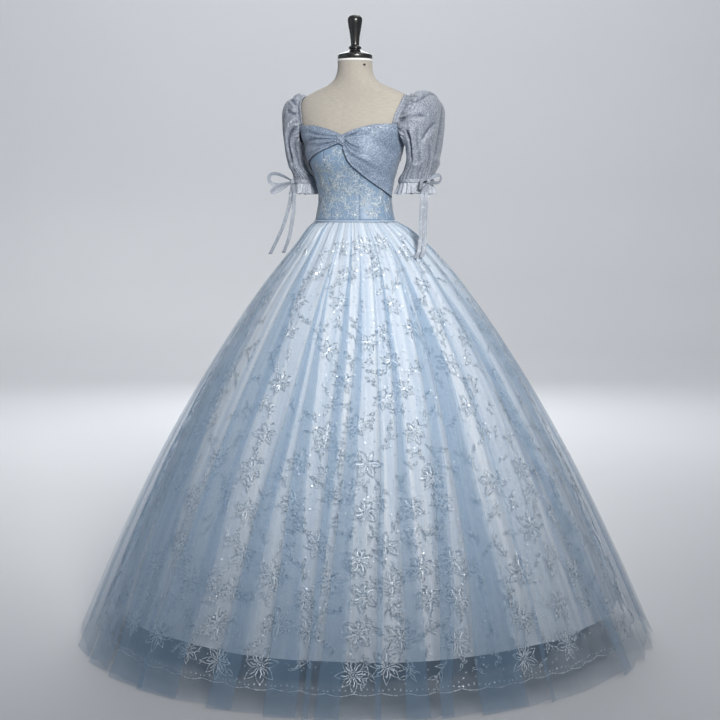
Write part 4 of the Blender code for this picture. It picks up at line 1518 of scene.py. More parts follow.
    def puff(self) -> tuple[Array, Array]:
        """The puff's points, from the tie up to the armhole, and how deep in a fold each lies.

        Returns:
            The points and the shares, row by row.
        """
        places = np.concatenate([
            1 - 0.1 * np.linspace(0, 1, 14) ** 1.4, np.linspace(0.885, 0.21, 46),
            np.linspace(0.2, 0.11, 10), 0.1 * (1 - np.linspace(0, 1, 14) ** 0.8),
        ])
        turn, place = np.meshgrid(around(217), places)
        share = turn / 360
        uneven, reach = self.wander(5, 2, 3, 5), self.wander(15, 3, 5, 9, 13)
        top = np.cos(math.tau * (26 * share + 0.8 * uneven(share)))
        comb = np.cos(math.tau * (43 * share + 0.9 * uneven(share + 0.6)))
        low = np.cos(math.tau * (23 * share + 0.8 * uneven(share + 0.3)))
        long = 0.24 + 0.11 * reach(share)
        height = 0.0031 + 0.0012 * reach(share + 0.2)
        gathers = height * top * eased(1 - place / long) * eased(place * 14 + 0.15)
        gathers += 0.0011 * comb * eased(1 - place / (0.6 * long)) * eased(place * 16 + 0.1)
        gathers += 0.0022 * low * eased((place - 0.72) / 0.24) * eased((1.0 - place) * 16 + 0.2)
        own = self.left_folds if self.side is Side.LEFT else self.right_folds
        folds = sum(
            crease.rise(turn + shift, place * 240)
            for shift in (-360, 0, 360) for crease in self.folds + own
        )
        broad = 0.0018 * self.wander(40, 3, 4, 7)(share + 0.25 * place)
        broad = broad * eased(place * 4) * eased((1 - place) * 5)
        folds = 1.5 * folds * eased(place * 12)
        # How deep in a fold or gather each point lies, which the mesh finish turns into painted
        # shade.
        sunk = np.clip((-folds - 0.0012) / 0.0058, 0, 1)
        sunk = sunk + np.clip((-gathers - 0.0006) / 0.003, 0, 0.9)
        points = self.point(place, turn, 0.0008 + gathers + folds + broad)
        return self.worn(points), self.worn(np.clip(sunk, 0, 1) ** 0.8)

    def cuff_ring(self, turns: Array, out: Array, lift: Array | float) -> Array:
        """Points round the sleeve's lower end, moved up by their lift."""
        ring = self.point(np.ones_like(turns), turns, out)
        ring[:, 2] += lift
        return ring

    def frill(self) -> Array:
        """The frill's points, from its hem up to the tie.

        Returns:
            The points, row by row.
        """
        turns = around(337)
        share = turns / 360
        uneven = self.wander(70, 2, 3, 5)
        ripple = np.sin(math.tau * (10 * share + 0.9 * uneven(share)))
        second = np.sin(math.tau * (23 * share + 0.9 * uneven(share + 0.4)))
        rows = []
        for part in np.linspace(1, 0, 19):
            wave = part * self.frill_wave * ripple * (0.8 + 0.3 * uneven(share + 0.7 * part))
            out = self.frill_flare * part**1.2 + wave
            out += (0.0008 + 0.001 * part) * second * eased(part * 6)
            drop = self.frill_drop * part * (1 + 0.03 * ripple + 0.05 * uneven(share * 2 + 0.1))
            rows.append(self.cuff_ring(turns, out + 0.0006, -SEAM_GAP - drop))
        return self.worn(np.stack(rows))

    def tie(self) -> Array:
        """The tie's points, puckered where the ribbon is drawn up."""
        turns = around(193)
        out = 0.0029 + 0.0004 * np.cos(np.radians(turns) * 26)
        rows = [self.cuff_ring(turns, rise + out, level) for level, rise in self.tie_rows]
        return self.worn(np.stack(rows))

    def strap(self) -> Array:
        """The points of the narrow band over the shoulder, gathered on to the sleeve head.

        Returns:
            The points, row by row.
        """
        cover = bpy.data.objects["form_cover"]
        surface = BVHTree.FromObject(cover, bpy.context.evaluated_depsgraph_get())
        turns = np.linspace(-107, 107, 97)
        outer = self.point(np.zeros(97), turns) + np.array([-0.0016, 0, 0])
        ruck = 0.0007 * np.sin(np.radians(turns) * 21 + 0.8 * np.sin(np.radians(turns) * 5))
        rows = []
        for share in np.linspace(0, 1, 9):
            row = []
            for point, rise in zip(outer, ruck):
                inboard = Vector(point) + Vector((-0.017 * share, 0, 0))
                seat, normal, *_ = surface.find_nearest(inboard)
                lift = 0.003 + rise * math.sin(math.pi * min(share + 0.15, 1))
                row.append(seat + normal * lift + normal * (inboard - seat).length * (1 - share))
            rows.append(row)
        return self.worn(np.array(rows))

    def build(self) -> None:
        """Make and dress the sleeve."""
        word = self.side.word
        sleeve, trim = f"sleeve_{word}", self.trim_wall
        grid, sunk = self.puff()
        puff = woven(f"sleeve_puff_{word}", grid, True, self.wall, ruler=36, furrow=sunk)
        enter(puff, Finishes.SLEEVE_MESH, sleeve)
        cut(puff, 0.62, 0.36, Held.GATHERED, f"strap_{word}")
        frill = woven(f"cuff_ruffle_{word}", self.frill(), True, trim)
        enter(frill, Finishes.CUFF_MESH, f"cuff_frill_{word}")
        cut(frill, 0.62, 0.036, Held.GATHERED, sleeve)
        tie = woven(f"tie_ribbon_{word}", self.tie(), True, trim, ruler=3)
        enter(tie, Finishes.RIBBON, f"tie_band_{word}")
        cut(tie, 0.5, 0.0115, Held.FOLDED, sleeve)
        strap = woven(f"shoulder_strap_{word}", self.strap(), wall=self.strap_wall, ruler=4)
        enter(strap, Finishes.SLEEVE_MESH, f"strap_{word}")
        cut(strap, 0.3, 0.02, Held.FOLDED, "form_torso")
        log.info("sleeve %s: puff, ruffle, tie ribbon and strap", word)


# ---------------- bows and ribbon ends
@dataclass(frozen=True)
class Loop:
    """One loop of a bow: how far below the knot it starts, its reach, its gape and its lean."""

    name: str
    drop: float
    reach: Point
    gape: float
    lean: float

    def line(self, knot: Array, share: Array) -> Array:
        """The loop's middle line, out along its reach and back."""
        root = knot - np.array([0, 0, self.drop])
        out = np.array(self.reach) * np.sin(math.pi * share)
        return root + out + np.array([0, 0, self.gape]) * np.sin(math.tau * share)


@dataclass(frozen=True)
class Tail:
    """A free ribbon end: how far forward it lies and its route on from under its knot."""

    name: str
    layer: float
    route: tuple

    def line(self, start: Array, spans: int = 48) -> Array:
        """Points along a smooth curve from its start through its route.

        Args:
            start: Where it leaves the knot.
            spans: How many parts it is cut into.

        Returns:
            The points.
        """
        knots = [start, *(np.array([x, AXIS_Y + y, z]) for x, y, z in self.route)]
        ends = [2 * knots[0] - knots[1], *knots, 2 * knots[-1] - knots[-2]]
        points = []
        for share in np.linspace(0, len(knots) - 1, spans + 1):
            i = min(int(share), len(knots) - 2)
            t = share - i
            a, b, c, d = ends[i : i + 4]
            bend, turn = 2 * a - 5 * b + 4 * c - d, 3 * b - a - 3 * c + d
            points.append(0.5 * (2 * b + (c - a) * t + bend * t**2 + turn * t**3))
        return np.array(points)


def length_of(line: Array) -> float:
    """The length of a line, to a tenth of a millimetre."""
    return round(float(np.linalg.norm(np.diff(line, axis=0), axis=1).sum()), 4)


@dataclass(frozen=True)
class Bow:
    """A small ribbon bow: a knot, two loops and two hanging ends."""

    side: Side
    loops: tuple[Loop, Loop]
    tails: tuple[Tail, Tail]
    knot_half: Point = (0.0062, 0.0062, 0.007)
    width: float = 0.01
    thickness: float = 0.0006
    facing: Point = (0.9, 0.42, 0.0)
    twist: float = 16.0

    @property
    def node(self) -> str:
        """The solid that the knot stands for."""
        return f"bow_knot_{self.side.word}"

    def ribbon(self, node: str, rows: Sequence[Array]) -> Object:
        """A dressed length of ribbon through its rows, edge to edge."""
        piece = woven(f"ribbon_{node}", np.array(rows), wall=self.thickness, ruler=3)
        enter(piece, Finishes.RIBBON, node)
        return piece

    def hang(self) -> None:
        place = middle_of(self.node)
        half = np.array(self.facing) / np.linalg.norm(self.facing)
        forward = -np.cross([0, 0, 1], half)
        for tail in self.tails:
            start = place + np.array([0, 0, -self.knot_half[2] - SEAM_GAP]) + forward * tail.layer
            middle = tail.line(start)
            run = np.linspace(0, 1, len(middle))
            number = len(tail.name) + int(1e4 * abs(tail.layer)) + self.side.value
            twist = np.radians(self.twist) * Wander(number, (1, 2, 3))(run) * eased(run * 3)
            lean = np.cos(twist)[:, None] * half + np.sin(twist)[:, None] * forward
            rows = [
                middle + lean * across * self.width / 2 + forward * (0.0005 * across**2)
                for across in np.linspace(-1, 1, 7)
            ]
            self.ribbon(tail.name, rows)
        log.info("ribbon ends %s: two", self.side.word)

    def tie(self) -> None:
        """Make the loops and the knot."""
        place = middle_of(self.node)
        for loop in self.loops:
            self.loop(place, loop)
        angles, levels = np.linspace(0, math.tau, 41)[None, :], np.linspace(-1, 1, 25)[:, None]
        fold = 1 + 0.07 * np.cos(4 * angles + 0.5)
        pinch = np.sqrt(np.maximum(1 - np.abs(levels) ** 3, 0.0004))
        hx, hy, hz = self.knot_half
        x = place[0] + hx * pinch * fold * np.sin(angles)
        y = place[1] - hy * pinch * fold * np.cos(angles)
        z = place[2] + hz * levels + 0.0008 * np.sin(3 * angles) * pinch
        wrap = woven(f"bow_wrap_{self.side.word}", np.stack([x, y, z], axis=-1), True, ruler=12)
        enter(wrap, Finishes.RIBBON, self.node)
        log.info("bow %s: knot and two loops", self.side.word)

    def loop(self, knot: Array, loop: Loop) -> None:
        """Make one loop, as far as it shows outside the knot.

        Args:
            knot: The knot's middle.
            loop: Which loop.
        """
        across = np.cross(np.array(loop.reach), np.array([0, 0, loop.gape]))
        across = across / np.linalg.norm(across)
        share = np.linspace(0, 1, 801)[:, None]
        off = (loop.line(knot, share) - knot) / (np.array(self.knot_half) + 0.0002)
        clear = np.flatnonzero((off**2).sum(axis=1) > 1)
        share = np.linspace(share[clear[0], 0], share[clear[-1], 0], 61)[:, None]
        line = loop.line(knot, share)
        pinch = 1 - 0.35 * np.exp(-((share / 0.1) ** 2))
        pinch = pinch - 0.35 * np.exp(-(((1 - share) / 0.1) ** 2))
        ahead = np.gradient(line, axis=0)
        ahead /= np.linalg.norm(ahead, axis=1, keepdims=True)
        lean = math.radians(loop.lean) * np.sin(math.pi * share) ** 0.5
        flat = np.cos(lean) * across + np.sin(lean) * np.cross(ahead, across)
        rows = [line + flat * part * pinch * self.width / 2 for part in np.linspace(-1, 1, 7)]
        cut(self.ribbon(loop.name, rows), self.width, length_of(line), Held.FOLDED, self.node)


BOWS = (
    Bow(
        Side.LEFT,
        (
            Loop("bow_loop_left_back", 0.0, (0.022, 0.044, 0.008), 0.01, 74.0),
            Loop("bow_loop_left_front", 0.0, (-0.004, -0.048, -0.01), 0.01, -70.0),
        ),
        (
            Tail("tie_tail_left_outer", -0.0009, (
                (0.206, -0.012, 1.219), (0.205, -0.016, 1.184), (0.204, -0.017, 1.134),
                (0.204, -0.019, 1.094), (0.203, -0.026, 1.066), (0.201, -0.036, 1.049),
            )),
            Tail("tie_tail_left_inner", 0.0009, (
                (0.198, -0.02, 1.219), (0.197, -0.026, 1.184), (0.196, -0.028, 1.134),
                (0.195, -0.03, 1.094), (0.193, -0.038, 1.064), (0.19, -0.051, 1.047),
            )),
        ),
    ),
    Bow(
        Side.RIGHT,
        (
            Loop("bow_loop_right_upper", -0.0015, (-0.054, -0.036, 0.007), 0.015, 78.0),
            Loop("bow_loop_right_lower", 0.002, (-0.044, -0.04, -0.025), 0.006, 80.0),
        ),
        (
            Tail("tie_tail_right_outer", -0.0009, (
                (-0.17, -0.037, 1.219), (-0.172, -0.039, 1.203), (-0.181, -0.039, 1.167),
                (-0.195, -0.039, 1.127), (-0.215, -0.038, 1.087), (-0.234, -0.037, 1.052),
            )),
            Tail("tie_tail_right_inner", 0.0009, (
                (-0.16, -0.04, 1.219), (-0.161, -0.042, 1.203), (-0.162, -0.043, 1.167),
                (-0.168, -0.043, 1.132), (-0.176, -0.043, 1.095), (-0.192, -0.043, 1.056),
            )),
        ),
    ),
)


# ---------------- skirt
QUARTERS = ("front_left", "front_right", "back_left", "back_right")


@dataclass(frozen=True)
class SkirtOutline:
    """The skirt's outline over the crests of its folds, and the fine gathers under the waist."""

    rings: tuple = (
        (1.1428, 0.1136, 0.0919, 0.004), (1.124, 0.137, 0.126, 0.024), (1.09, 0.17, 0.168, 0.048),
        (1.035, 0.221, 0.221, 0.064), (0.953, 0.288, 0.288, 0.068), (0.789, 0.402, 0.402, 0.075),
        (0.517, 0.564, 0.564, 0.076), (0.246, 0.699, 0.699, 0.08), (0.0, 0.808, 0.808, 0.085),
    )
    gathers: int = 84
    coarse_gathers: int = 37

    @cached_property
    def column(self) -> dict[str, Column]:
        """The outline's measures at each height."""
        return columns_of(self.rings, "half_width half_depth centre_back")

    @property
    def top(self) -> float:
        """The height of the waist seam's lower side."""
        return self.rings[0][0]

    def fall(self, height: Array) -> Array:
        """The share of the whole drop at each height."""
        return (self.top - np.asarray(height)) / self.top

    def ruck(self, turn: Array, height: Array) -> Array:
        """How far the fine gathers stand out, the same in all the layers.

        Args:
            turn: Turns, in degrees.
            height: Heights.

        Returns:
            The distances.
        """
        share, fall = np.asarray(turn) / 360, self.fall(height)
        fine = self.gathers * share + 1.1 * Wander(3, (3, 5, 8))(share)
        coarse = self.coarse_gathers * share + 0.8 * Wander(8, (2, 5, 7))(share)
        fine = 0.0023 * np.exp(-((fall / 0.075) ** 2)) * np.cos(math.tau * fine)
        coarse = 0.0036 * np.exp(-((fall / 0.16) ** 2)) * np.cos(math.tau * coarse)
        return eased((fall - 0.001) / 0.012) * (fine + coarse)

    def point(self, turn: Array, height: Array, inset: Array | float) -> Array:
        """Points inside the outline by their inset.

        Args:
            turn: Turns, in degrees.
            height: Heights.
            inset: How far inside.

        Returns:
            The points.
        """
        turn, height = np.broadcast_arrays(turn, height)
        angle = np.radians(turn)
        inset = np.asarray(inset) - self.ruck(turn, height)
        x = (self.column["half_width"](height) - inset) * np.sin(angle)
        y = -(self.column["half_depth"](height) - inset) * np.cos(angle)
        return np.stack([x, AXIS_Y + self.column["centre_back"](height) + y, height], axis=-1)


@dataclass(frozen=True)
class HungLayer:
    """A layer that hangs in soft folds inside the outline."""

    outline: SkirtOutline
    hem: float
    drop: float
    waist_inset: float
    hem_inset: float
    folds: int
    wave: float
    phase: float

    def inset(self, height: Array) -> Array:
        """How far the layer's crests lie inside the outline."""
        share = eased(self.outline.fall(height)) ** 0.8
        return self.waist_inset + (self.hem_inset - self.waist_inset) * share

    def point(self, turn: Array, height: Array) -> Array:
        """Points on the layer, whose folds deepen from waist to hem.

        Args:
            turn: Turns, in degrees.
            height: Heights.

        Returns:
            The points.
        """
        turn, height = np.broadcast_arrays(turn, height)
        fall = self.outline.fall(height)
        angle = np.radians(turn)
        depth = self.wave * (0.8 + 0.2 * np.sin(5 * angle + self.phase))
        depth = depth * eased((fall - 0.03) / 0.97) ** 0.7
        sway = 0.14 * np.sin(3 * angle + self.phase) + 0.09 * np.sin(7 * angle + 2 * self.phase)
        crest = 0.5 + 0.5 * np.cos(math.tau * (self.folds * turn / 360 + sway))
        points = self.outline.point(turn, height, self.inset(height) + depth * (1 - crest))
        points[..., 2] -= self.drop * (1 - eased(fall / 0.5))
        return points

    def grid(self, columns: int, rows: int, hem: Array | float = 0.0) -> Array:
        """The layer's points.

        Args:
            columns: Columns round the skirt.
            rows: Rows from hem to waist.
            hem: How far the hem's edge stands above the lowest height at each column.

        Returns:
            The grid, its first column repeated as the last.
        """
        low = self.hem + np.asarray(hem)
        heights = low + (np.linspace(0, 1, rows) ** 0.85)[:, None] * (self.outline.top - low)
        return self.point(around(columns + 1)[None, :], heights * np.ones(columns + 1))


@dataclass(frozen=True)
class PleatedTulle:
    """The outer layer: flat knife pleats that run from the waist gathers to the floor.

    Each fold is its turn and its band's width at the higher and the lower level, in degrees. The
    profile is one pleat's cloth from fold to fold: share of the flat, share of the band, depth.
    """

    outline: SkirtOutline
    under: HungLayer
    hem: float = 0.003
    cloth_length: float = 1.37
    levels: Pair = (0.387, 0.81)
    folds: tuple = (
        (-64.0, -57.0, 9.0, 8.0), (-53.0, -46.0, 9.0, 6.5), (-42.0, -36.0, 5.5, 9.0),
        (-24.0, -24.5, 9.5, 9.0), (-4.5, -7.5, 3.0, 4.0), (0.5, 2.0, 3.0, 5.0),
        (10.0, 9.5, 3.0, 1.2), (15.5, 12.2, 3.0, 4.0), (24.0, 22.0, 1.2, 1.2),
        (29.0, 27.0, 3.0, 4.0), (39.0, 34.0, 4.3, 3.0), (43.8, 40.5, 7.3, 9.0),
        (56.0, 54.0, 1.5, 1.5), (69.0, 73.0, 7.0, 6.0), (81.5, 84.0, 9.0, 3.5),
        (93.0, 93.0, 6.0, 7.0), (104.0, 104.0, 3.0, 3.0), (113.0, 113.0, 6.0, 7.0),
        (124.5, 125.0, 5.0, 4.5), (134.0, 133.5, 2.0, 2.0), (141.5, 142.0, 7.5, 8.0),
        (154.0, 155.0, 4.0, 3.5), (163.0, 162.5, 5.0, 5.0), (174.0, 173.5, 1.5, 2.0),
        (183.0, 182.0, 6.0, 6.5), (193.0, 194.0, 4.5, 4.0), (206.0, 205.0, 8.0, 8.0),
        (217.0, 217.5, 2.0, 2.5), (225.0, 226.0, 5.5, 5.0), (238.0, 237.0, 7.0, 7.0),
        (249.5, 249.0, 3.0, 3.0), (257.0, 258.0, 5.0, 5.0), (268.5, 269.0, 8.0, 8.0),
        (281.0, 281.5, 4.0, 4.0), (287.0, 289.5, 4.5, 5.0),
    )
    profile: tuple = (
        (0.2, 1.0, 0.6), (0.4, 1.0, 0.52), (0.6, 1.0, 0.42), (0.8, 1.0, 0.33), (1.0, 1.0, 0.26),
        (1.0, 0.65, 0.2), (1.0, 0.3, 0.13), (1.0, 0.06, 0.075), (1.0, 0.0, 0.06),
        (1.0, 0.012, 0.11), (1.0, 0.3, 0.22), (1.0, 0.65, 0.32), (1.0, 0.97, 0.38),
        (1.0, 1.0, 0.44), (1.0, 0.97, 0.5), (1.0, 0.66, 0.56), (1.0, 0.33, 0.62), (1.0, 0.0, 0.66),
    )

    def fold(self, index: int, fall: Array) -> tuple[Array, Array]:
        """One pleat's fold on its way down.

        Args:
            index: Which pleat, past the last for a second time round.
            fall: Shares of the drop.

        Returns:
            The fold's turn and its band's width at each share, in degrees.
        """
        again, index = divmod(index, len(self.folds))
        high, low, high_band, low_band = self.folds[index]
        share = (fall - self.levels[0]) / (self.levels[1] - self.levels[0])
        share = np.clip(share, -0.75, 1.3)
        turn = high + (low - high) * share + 0.35 * Wander(200 + index, (1, 2, 3))(fall * 0.9)
        band = np.maximum(high_band + (low_band - high_band) * share, 0.8)
        narrow = 0.16 + 0.84 * eased(fall / 0.34)
        return turn + 360 * again, band * narrow * (1 + 0.12 * Wander(300 + index, (1, 2))(fall))

    def build(self) -> None:
        """Make and dress the layer."""
        heights = self.hem + (self.outline.top - self.hem) * np.linspace(0, 1, 56) ** 0.85
        fall = self.outline.fall(heights)
        columns = []
        for k in range(len(self.folds), 0, -1):
            start, _ = self.fold(k, fall)
            end, breadth = self.fold(k - 1, fall)
            deep = 1 + 0.12 * Wander(400 + k, (1, 2))(fall)
            for pitch, band, depth in self.profile:
                turn = start + (end + band * breadth - start) * pitch
                columns.append((turn, np.clip(depth * deep, 0.03, 0.8)))
        columns.append((columns[0][0] - 360, columns[0][1]))
        turns, depths = (np.stack(part, axis=1) for part in zip(*reversed(columns)))
        inset = depths * self.under.inset(heights)[:, None]
        grid = self.outline.point(turns, heights[:, None], inset)
        grid[0, :, 2] += 0.0006 * (1 + Wander(9, (7, 12, 19))(turns[0] / 360))
        piece = woven("tulle_pleats", grid, closed=True)
        enter(piece, Finishes.TULLE, *(f"skirt_tulle_{quarter}" for quarter in QUARTERS))
        width = float(np.linalg.norm(np.diff(grid[0], axis=0), axis=1).sum())
        cut(piece, round(width, 2), self.cloth_length, Held.GATHERED, "skirt_embroidered_left")
        log.info("tulle: %d pleats, %.2f m of cloth round the hem", len(self.folds), width)


@dataclass(frozen=True)
class Scatter:
    """How motifs are strewn: how far apart, between which heights and in how many tries."""

    spacing: float
    low: float
    high: float
    tries: int

    def places(self, taken: Sequence[Pair], radius: Column, draw: Draw) -> list[Pair]:
        """Places all round the skirt, between those that are taken.

        Args:
            taken: The turns and heights that are taken.
            radius: The skirt's half width at each height.
            draw: The source of chance.

        Returns:
            The new turns and heights.
        """
        known = np.zeros((len(taken) + self.tries, 2))
        known[: len(taken)] = taken
        count = len(taken)
        for _ in range(self.tries):
            turn = draw.uniform(-180, 180)
            height = self.high - (self.high - self.low) * math.sqrt(draw.uniform())
            away = np.radians((known[:count, 0] - turn + 180) % 360 - 180) * float(radius(height))
            if np.hypot(away, 1.2 * (known[:count, 1] - height)).min() > self.spacing:
                known[count] = turn, height
                count += 1
        return [tuple(map(float, place)) for place in known[len(taken) : count]]


@dataclass(frozen=True)
class Skirt:
    """The gathered skirt: pleated tulle over embroidered net over a satin lining."""

    outline: SkirtOutline
    needle: Needle = Needle()
    flowers: Scatter = Scatter(0.122, 0.095, 1.085, 3000)
    twigs: Scatter = Scatter(0.059, 0.075, 1.105, 5000)
    highest: float = 1.12
    scallops: int = 72
    scallop: float = 0.006
    blooms: tuple = (
        (5.5, 0.821, 0.03), (21.5, 0.841, 0.03), (67.5, 0.841, 0.03), (-11.0, 0.737, 0.033),
        (13.0, 0.743, 0.033), (33.0, 0.728, 0.033), (30.0, 0.795, 0.027), (8.5, 0.624, 0.035),
        (17.0, 0.644, 0.033), (26.0, 0.704, 0.03), (-11.0, 0.616, 0.036), (35.0, 0.628, 0.036),
        (56.0, 0.679, 0.034), (1.5, 0.556, 0.038), (9.2, 0.53, 0.032), (20.5, 0.556, 0.041),
        (-12.5, 0.528, 0.04), (14.5, 0.488, 0.036), (20.0, 0.447, 0.036), (-11.0, 0.437, 0.038),
        (1.5, 0.465, 0.038), (9.0, 0.372, 0.041), (18.5, 0.339, 0.041), (24.5, 0.372, 0.035),
        (31.5, 0.455, 0.036), (38.0, 0.522, 0.036), (39.5, 0.465, 0.032), (32.0, 0.322, 0.037),
        (39.5, 0.331, 0.041), (-1.0, 0.301, 0.041), (-9.5, 0.334, 0.037), (19.5, 0.262, 0.04),
        (12.5, 0.29, 0.037), (-12.0, 0.171, 0.045), (33.0, 0.251, 0.038), (25.5, 0.287, 0.035),
        (18.2, 0.18, 0.044), (8.5, 0.179, 0.041), (26.5, 0.169, 0.041), (38.0, 0.149, 0.046),
        (-0.5, 0.099, 0.046), (23.8, 0.108, 0.047), (17.4, 0.091, 0.045), (-10.0, 0.092, 0.045),
        (2.0, 0.193, 0.04), (7.0, 0.247, 0.037), (68.5, 0.516, 0.041), (-17.0, 0.105, 0.041),
        (-10.0, 0.253, 0.041), (-46.0, 0.099, 0.047), (39.5, 0.247, 0.038), (65.0, 0.197, 0.045),
        (63.5, 0.102, 0.047), (52.0, 0.094, 0.046), (57.0, 0.285, 0.043), (54.0, 0.183, 0.043),
        (2.5, 1.074, 0.033), (22.0, 1.082, 0.034), (38.0, 1.088, 0.027), (55.0, 1.06, 0.029),
        (10.0, 1.008, 0.031), (26.0, 1.014, 0.03), (33.5, 0.931, 0.032), (8.0, 0.936, 0.03),
        (-11.0, 1.008, 0.029), (-15.0, 0.936, 0.03), (-14.5, 0.865, 0.031), (56.0, 0.98, 0.029),
        (57.0, 0.9, 0.031), (42.0, 0.87, 0.031),
    )

    def build(self) -> None:
        """Make and dress the skirt."""
        net = HungLayer(
            self.outline, hem=0.042, drop=0.0015, waist_inset=0.0014, hem_inset=0.038, folds=24,
            wave=0.014, phase=1.3,
        )
        lining = HungLayer(
            self.outline, hem=0.112, drop=0.003, waist_inset=0.0028, hem_inset=0.056, folds=12,
            wave=0.01, phase=2.1,
        )
        piece = woven("lining_satin_layer", lining.grid(288, 52), closed=True)
        enter(piece, Finishes.LINING, *(f"skirt_lining_{quarter}" for quarter in QUARTERS))
        cut(piece, 4.8, 1.24, Held.GATHERED, "form_torso")
        half_scallops = np.radians(around(577)) * self.scallops / 2
        edge = self.scallop * np.abs(np.sin(half_scallops))
        piece = woven("embroidered_net_layer", net.grid(576, 56, edge), closed=True)
        enter(piece, Finishes.NET, "skirt_embroidered_left", "skirt_embroidered_right")
        cut(piece, 5.2, 1.32, Held.GATHERED, "skirt_lining_front_left")
        PleatedTulle(self.outline, net).build()
        self.embroider(net)
        log.info("skirt: lining, embroidered net, pleated tulle and embroidery")

    def embroider(self, net: HungLayer) -> None:
        """Sew flowers, sprays and sequins over the net, in four joined pieces and their beads.

        Args:
            net: The layer that carries it.
        """
        draw, needle = np.random.default_rng(77), self.needle
        radius = self.outline.column["half_width"]
        quarters = ("front_left", "back_left", "back_right", "front_right")
        works = {name: Needlework(net.point) for name in quarters}
        blooms = list(self.blooms)
        for turn, height in self.flowers.places([bloom[:2] for bloom in blooms], radius, draw):
            size = 0.029 + 0.017 * float(self.outline.fall(height)) ** 0.7
            blooms.append((turn, height, size * draw.uniform(0.9, 1.1)))
        twigs = self.twigs.places([bloom[:2] for bloom in blooms], radius, draw)
        for turn, height, size in blooms:
            self.bloom(works[self.quarter(turn)], (turn, height, size), net.hem, draw)
        for turn, height in twigs:
            work = works[self.quarter(turn)]
            twig = needle.spray(draw.uniform(0.026, 0.042), 2, draw)
            spun = (
                motif.placed(0, 0, math.pi * draw.integers(0, 2) + draw.uniform(0.2, 2.9))
                for motif in twig
            )
            work.sew(spun, turn, height)
            for _ in range(3):
                x, y = draw.uniform(-0.045, 0.045, 2)
                if net.hem + 0.012 < height + y < self.highest:
                    work.beads.append((needle.disc(x, y, 0.85, draw), turn, height))
        log.info("skirt embroidery: %d flowers and %d twigs", len(blooms), len(twigs))
        self.border(works, net.hem, draw)
        for name, work in works.items():
            enter(work.piece(f"skirt_embroidery_{name}", work.threads), Finishes.SILVER)
            enter(work.piece(f"skirt_beads_{name}", work.beads), Finishes.SEQUIN)

    @staticmethod
    def quarter(turn: float) -> str:
        """The quarter of the skirt that holds a turn."""
        turn = (turn + 180) % 360 - 180
        return ("front" if abs(turn) < 90 else "back") + ("_left" if turn >= 0 else "_right")

    def bloom(self, work: Needlework, place: Point, hem: float, draw: Draw) -> None:
        """Sew a flower, up to two sprays above and below it and sequins round it.

        Args:
            work: What it is sewn with.
            place: Its turn, its height and its radius.
            hem: The height of the net's hem.
            draw: The source of chance.
        """
        turn, height, radius = place
        work.sew(self.needle.flower(radius, draw), turn, height)
        for j in range(2):
            away = math.pi * (0.5 + j) + draw.uniform(-0.8, 0.8)
            length = radius * draw.uniform(1.1, 1.5)
            tip = height + (1.12 * radius + 0.9 * length) * math.sin(away)
            if hem + 0.014 < tip < self.highest:
                spray, root = self.needle.spray(length, 3, draw), polar(1.1 * radius, away)
                work.sew((motif.placed(*root, away) for motif in spray), turn, height)
        for _ in range(14):
            x, y = polar(draw.uniform(1.2, 2.4) * radius, draw.uniform(0, math.tau))
            if hem + 0.012 < height + y < self.highest:
                work.beads.append((self.needle.disc(x, y, 0.9, draw), turn, height))

    def border(self, works: dict[str, Needlework], hem: float, draw: Draw) -> None:
        """Sew a corded scallop and five sequins along each scallop of the net's hem.

        Args:
            works: The skirt's needlework, by its quarters.
            hem: The height of the net's hem.
            draw: The source of chance.
        """
        x = np.linspace(-0.034, 0.034, 9)
        wave = self.scallop * np.abs(np.cos(np.linspace(-math.pi / 2, math.pi / 2, 9)))
        cord = stitched(np.column_stack([x, self.scallop - wave]), 0.0026, 0.0009)
        for i in range(self.scallops):
            turn = 360 * i / self.scallops - 180
            work = works[self.quarter(turn)]
            work.threads.append((cord, turn, hem + 0.003))
            for spot in (-0.028, -0.014, 0.0, 0.014, 0.028):
                disc = self.needle.disc(spot, 0.008 + 0.003 * math.cos(60 * spot), 1.0, draw)
                work.beads.append((disc, turn, hem + 0.006))


# ---------------- studio
@dataclass(frozen=True)
class Lamp:
    """A soft lamp: a round panel, or a spot where its beam has an angle."""

    name: str
    place: Point
    aim: Point
    size: float
    watts: float
    colour: Colour
    beam: float = 0.0

    def hang(self) -> None:
        """Hang the lamp."""
        data = bpy.data.lights.new(self.name, "SPOT" if self.beam else "AREA")
        data.energy, data.color = self.watts, self.colour
        if self.beam:
            data.spot_size, data.spot_blend = math.radians(self.beam), 1.0
            data.shadow_soft_size = self.size / 2
        else:
            data.shape, data.size = "DISK", self.size
        thing = linked(self.name, data)
        thing.location = self.place
        thing.visible_camera = False
        facing = (Vector(self.aim) - Vector(self.place)).to_track_quat("-Z", "Y")
        thing.rotation_euler = facing.to_euler()


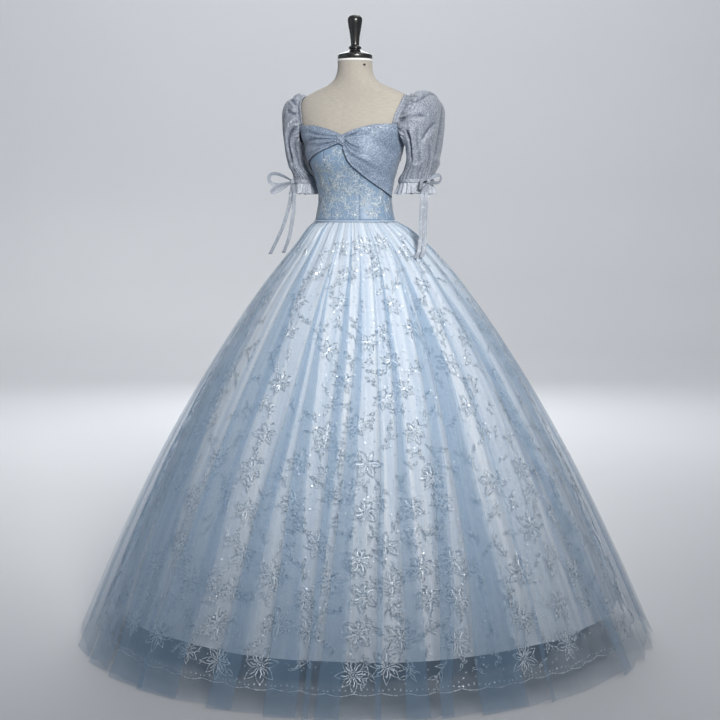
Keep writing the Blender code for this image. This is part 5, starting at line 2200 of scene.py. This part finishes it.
@dataclass(frozen=True)
class Studio:
    """The pale floor and backdrop, the soft lights and the camera."""

    distance: float = 4.0135
    height: float = 1.1864
    azimuth: float = 20.0
    tilt: float = 6.0
    lens: float = 73.85
    sensor: float = 36.0
    shift: float = 0.00694
    sweep: tuple = (
        (0.001, 0.0), (2.0, 0.0), (4.0, 0.0), (6.0, 0.0), (7.0, 0.12), (7.8, 0.55), (8.3, 1.3),
        (8.5, 2.4), (8.5, 6.0),
    )
    paper: tuple[Colour, Colour] = ((0.74, 0.75, 0.77), (0.78, 0.79, 0.81))
    air: Colour = (0.8, 0.84, 0.9)
    air_strength: float = 0.25
    lamps: tuple[Lamp, ...] = (
        Lamp("key", (2.5, -3.7, 2.7), (0.0, -0.1, 1.1), 1.2, 1070.0, (1.0, 0.985, 0.965), 33.0),
        Lamp("fill", (-3.4, -2.6, 2.0), (0.0, 0.0, 1.1), 2.6, 11.0, (0.86, 0.93, 1.0)),
        Lamp("crown", (0.3, 0.9, 4.2), (0.0, 0.0, 1.0), 2.4, 30.0, WHITE),
        Lamp("back", (-1.57, 4.3, 2.9), (0.0, 0.0, 0.8), 3.0, 70.0, (0.94, 0.97, 1.0)),
        Lamp("backdrop_lamp", (-1.4, 3.6, 4.9), (-3.0, 8.2, 1.4), 3.0, 150.0, (0.97, 0.985, 1.0)),
    )

    def camera(self) -> None:
        """Set the camera."""
        data = bpy.data.cameras.new("camera")
        data.lens, data.sensor_width, data.shift_x = self.lens, self.sensor, self.shift
        data.dof.use_dof = False
        thing = linked("camera", data)
        turn = math.radians(self.azimuth)
        east, north = self.distance * math.sin(turn), -self.distance * math.cos(turn)
        thing.location = (east, AXIS_Y + north, self.height)
        thing.rotation_euler = (math.radians(90 - self.tilt), 0, turn)
        bpy.context.scene.camera = thing

    def build(self) -> None:
        """Make the floor with its backdrop, the lights and the air."""
        angle = np.radians(around(97))
        rows = [[(r * math.sin(a), -r * math.cos(a), z) for a in angle] for r, z in self.sweep]
        floor = woven("studio_floor", np.array(rows)[::-1], closed=True)
        g = Graph("studio_paper")
        floor.data.materials.append(g.set(
            Base_Color=g.blend(g.noise(g.here(), 0.8), *self.paper), Roughness=0.85,
            Normal=g.bump(g.noise(g.here(), 220.0, 3.0), 0.05, 0.001),
        ))
        for lamp in self.lamps:
            lamp.hang()
        world = bpy.data.worlds.new("studio_air")
        world.use_nodes = True
        inputs = world.node_tree.nodes["Background"].inputs
        inputs["Color"].default_value = (*self.air, 1.0)
        inputs["Strength"].default_value = self.air_strength
        bpy.context.scene.world = world
        log.info("studio: floor, five lamps and the air")


def main() -> None:
    """Build the camera and the ribbon ends first, then the form, the gown and the studio."""
    logging.basicConfig(level=logging.INFO, format="%(name)s: %(message)s")
    studio = Studio()
    studio.camera()
    for bow in BOWS:
        bow.hang()
    form = DressForm()
    form.build()
    Bodice(form).build()
    BustDrape(form).build()
    for side in Side:
        Sleeve(side, form).build()
    for bow in BOWS:
        bow.tie()
    Skirt(SkirtOutline()).build()
    studio.build()
    bpy.context.scene.cycles.transparent_max_bounces = 32
    bpy.context.scene.view_settings.view_transform = "Standard"


if __name__ == "__main__":
    main()
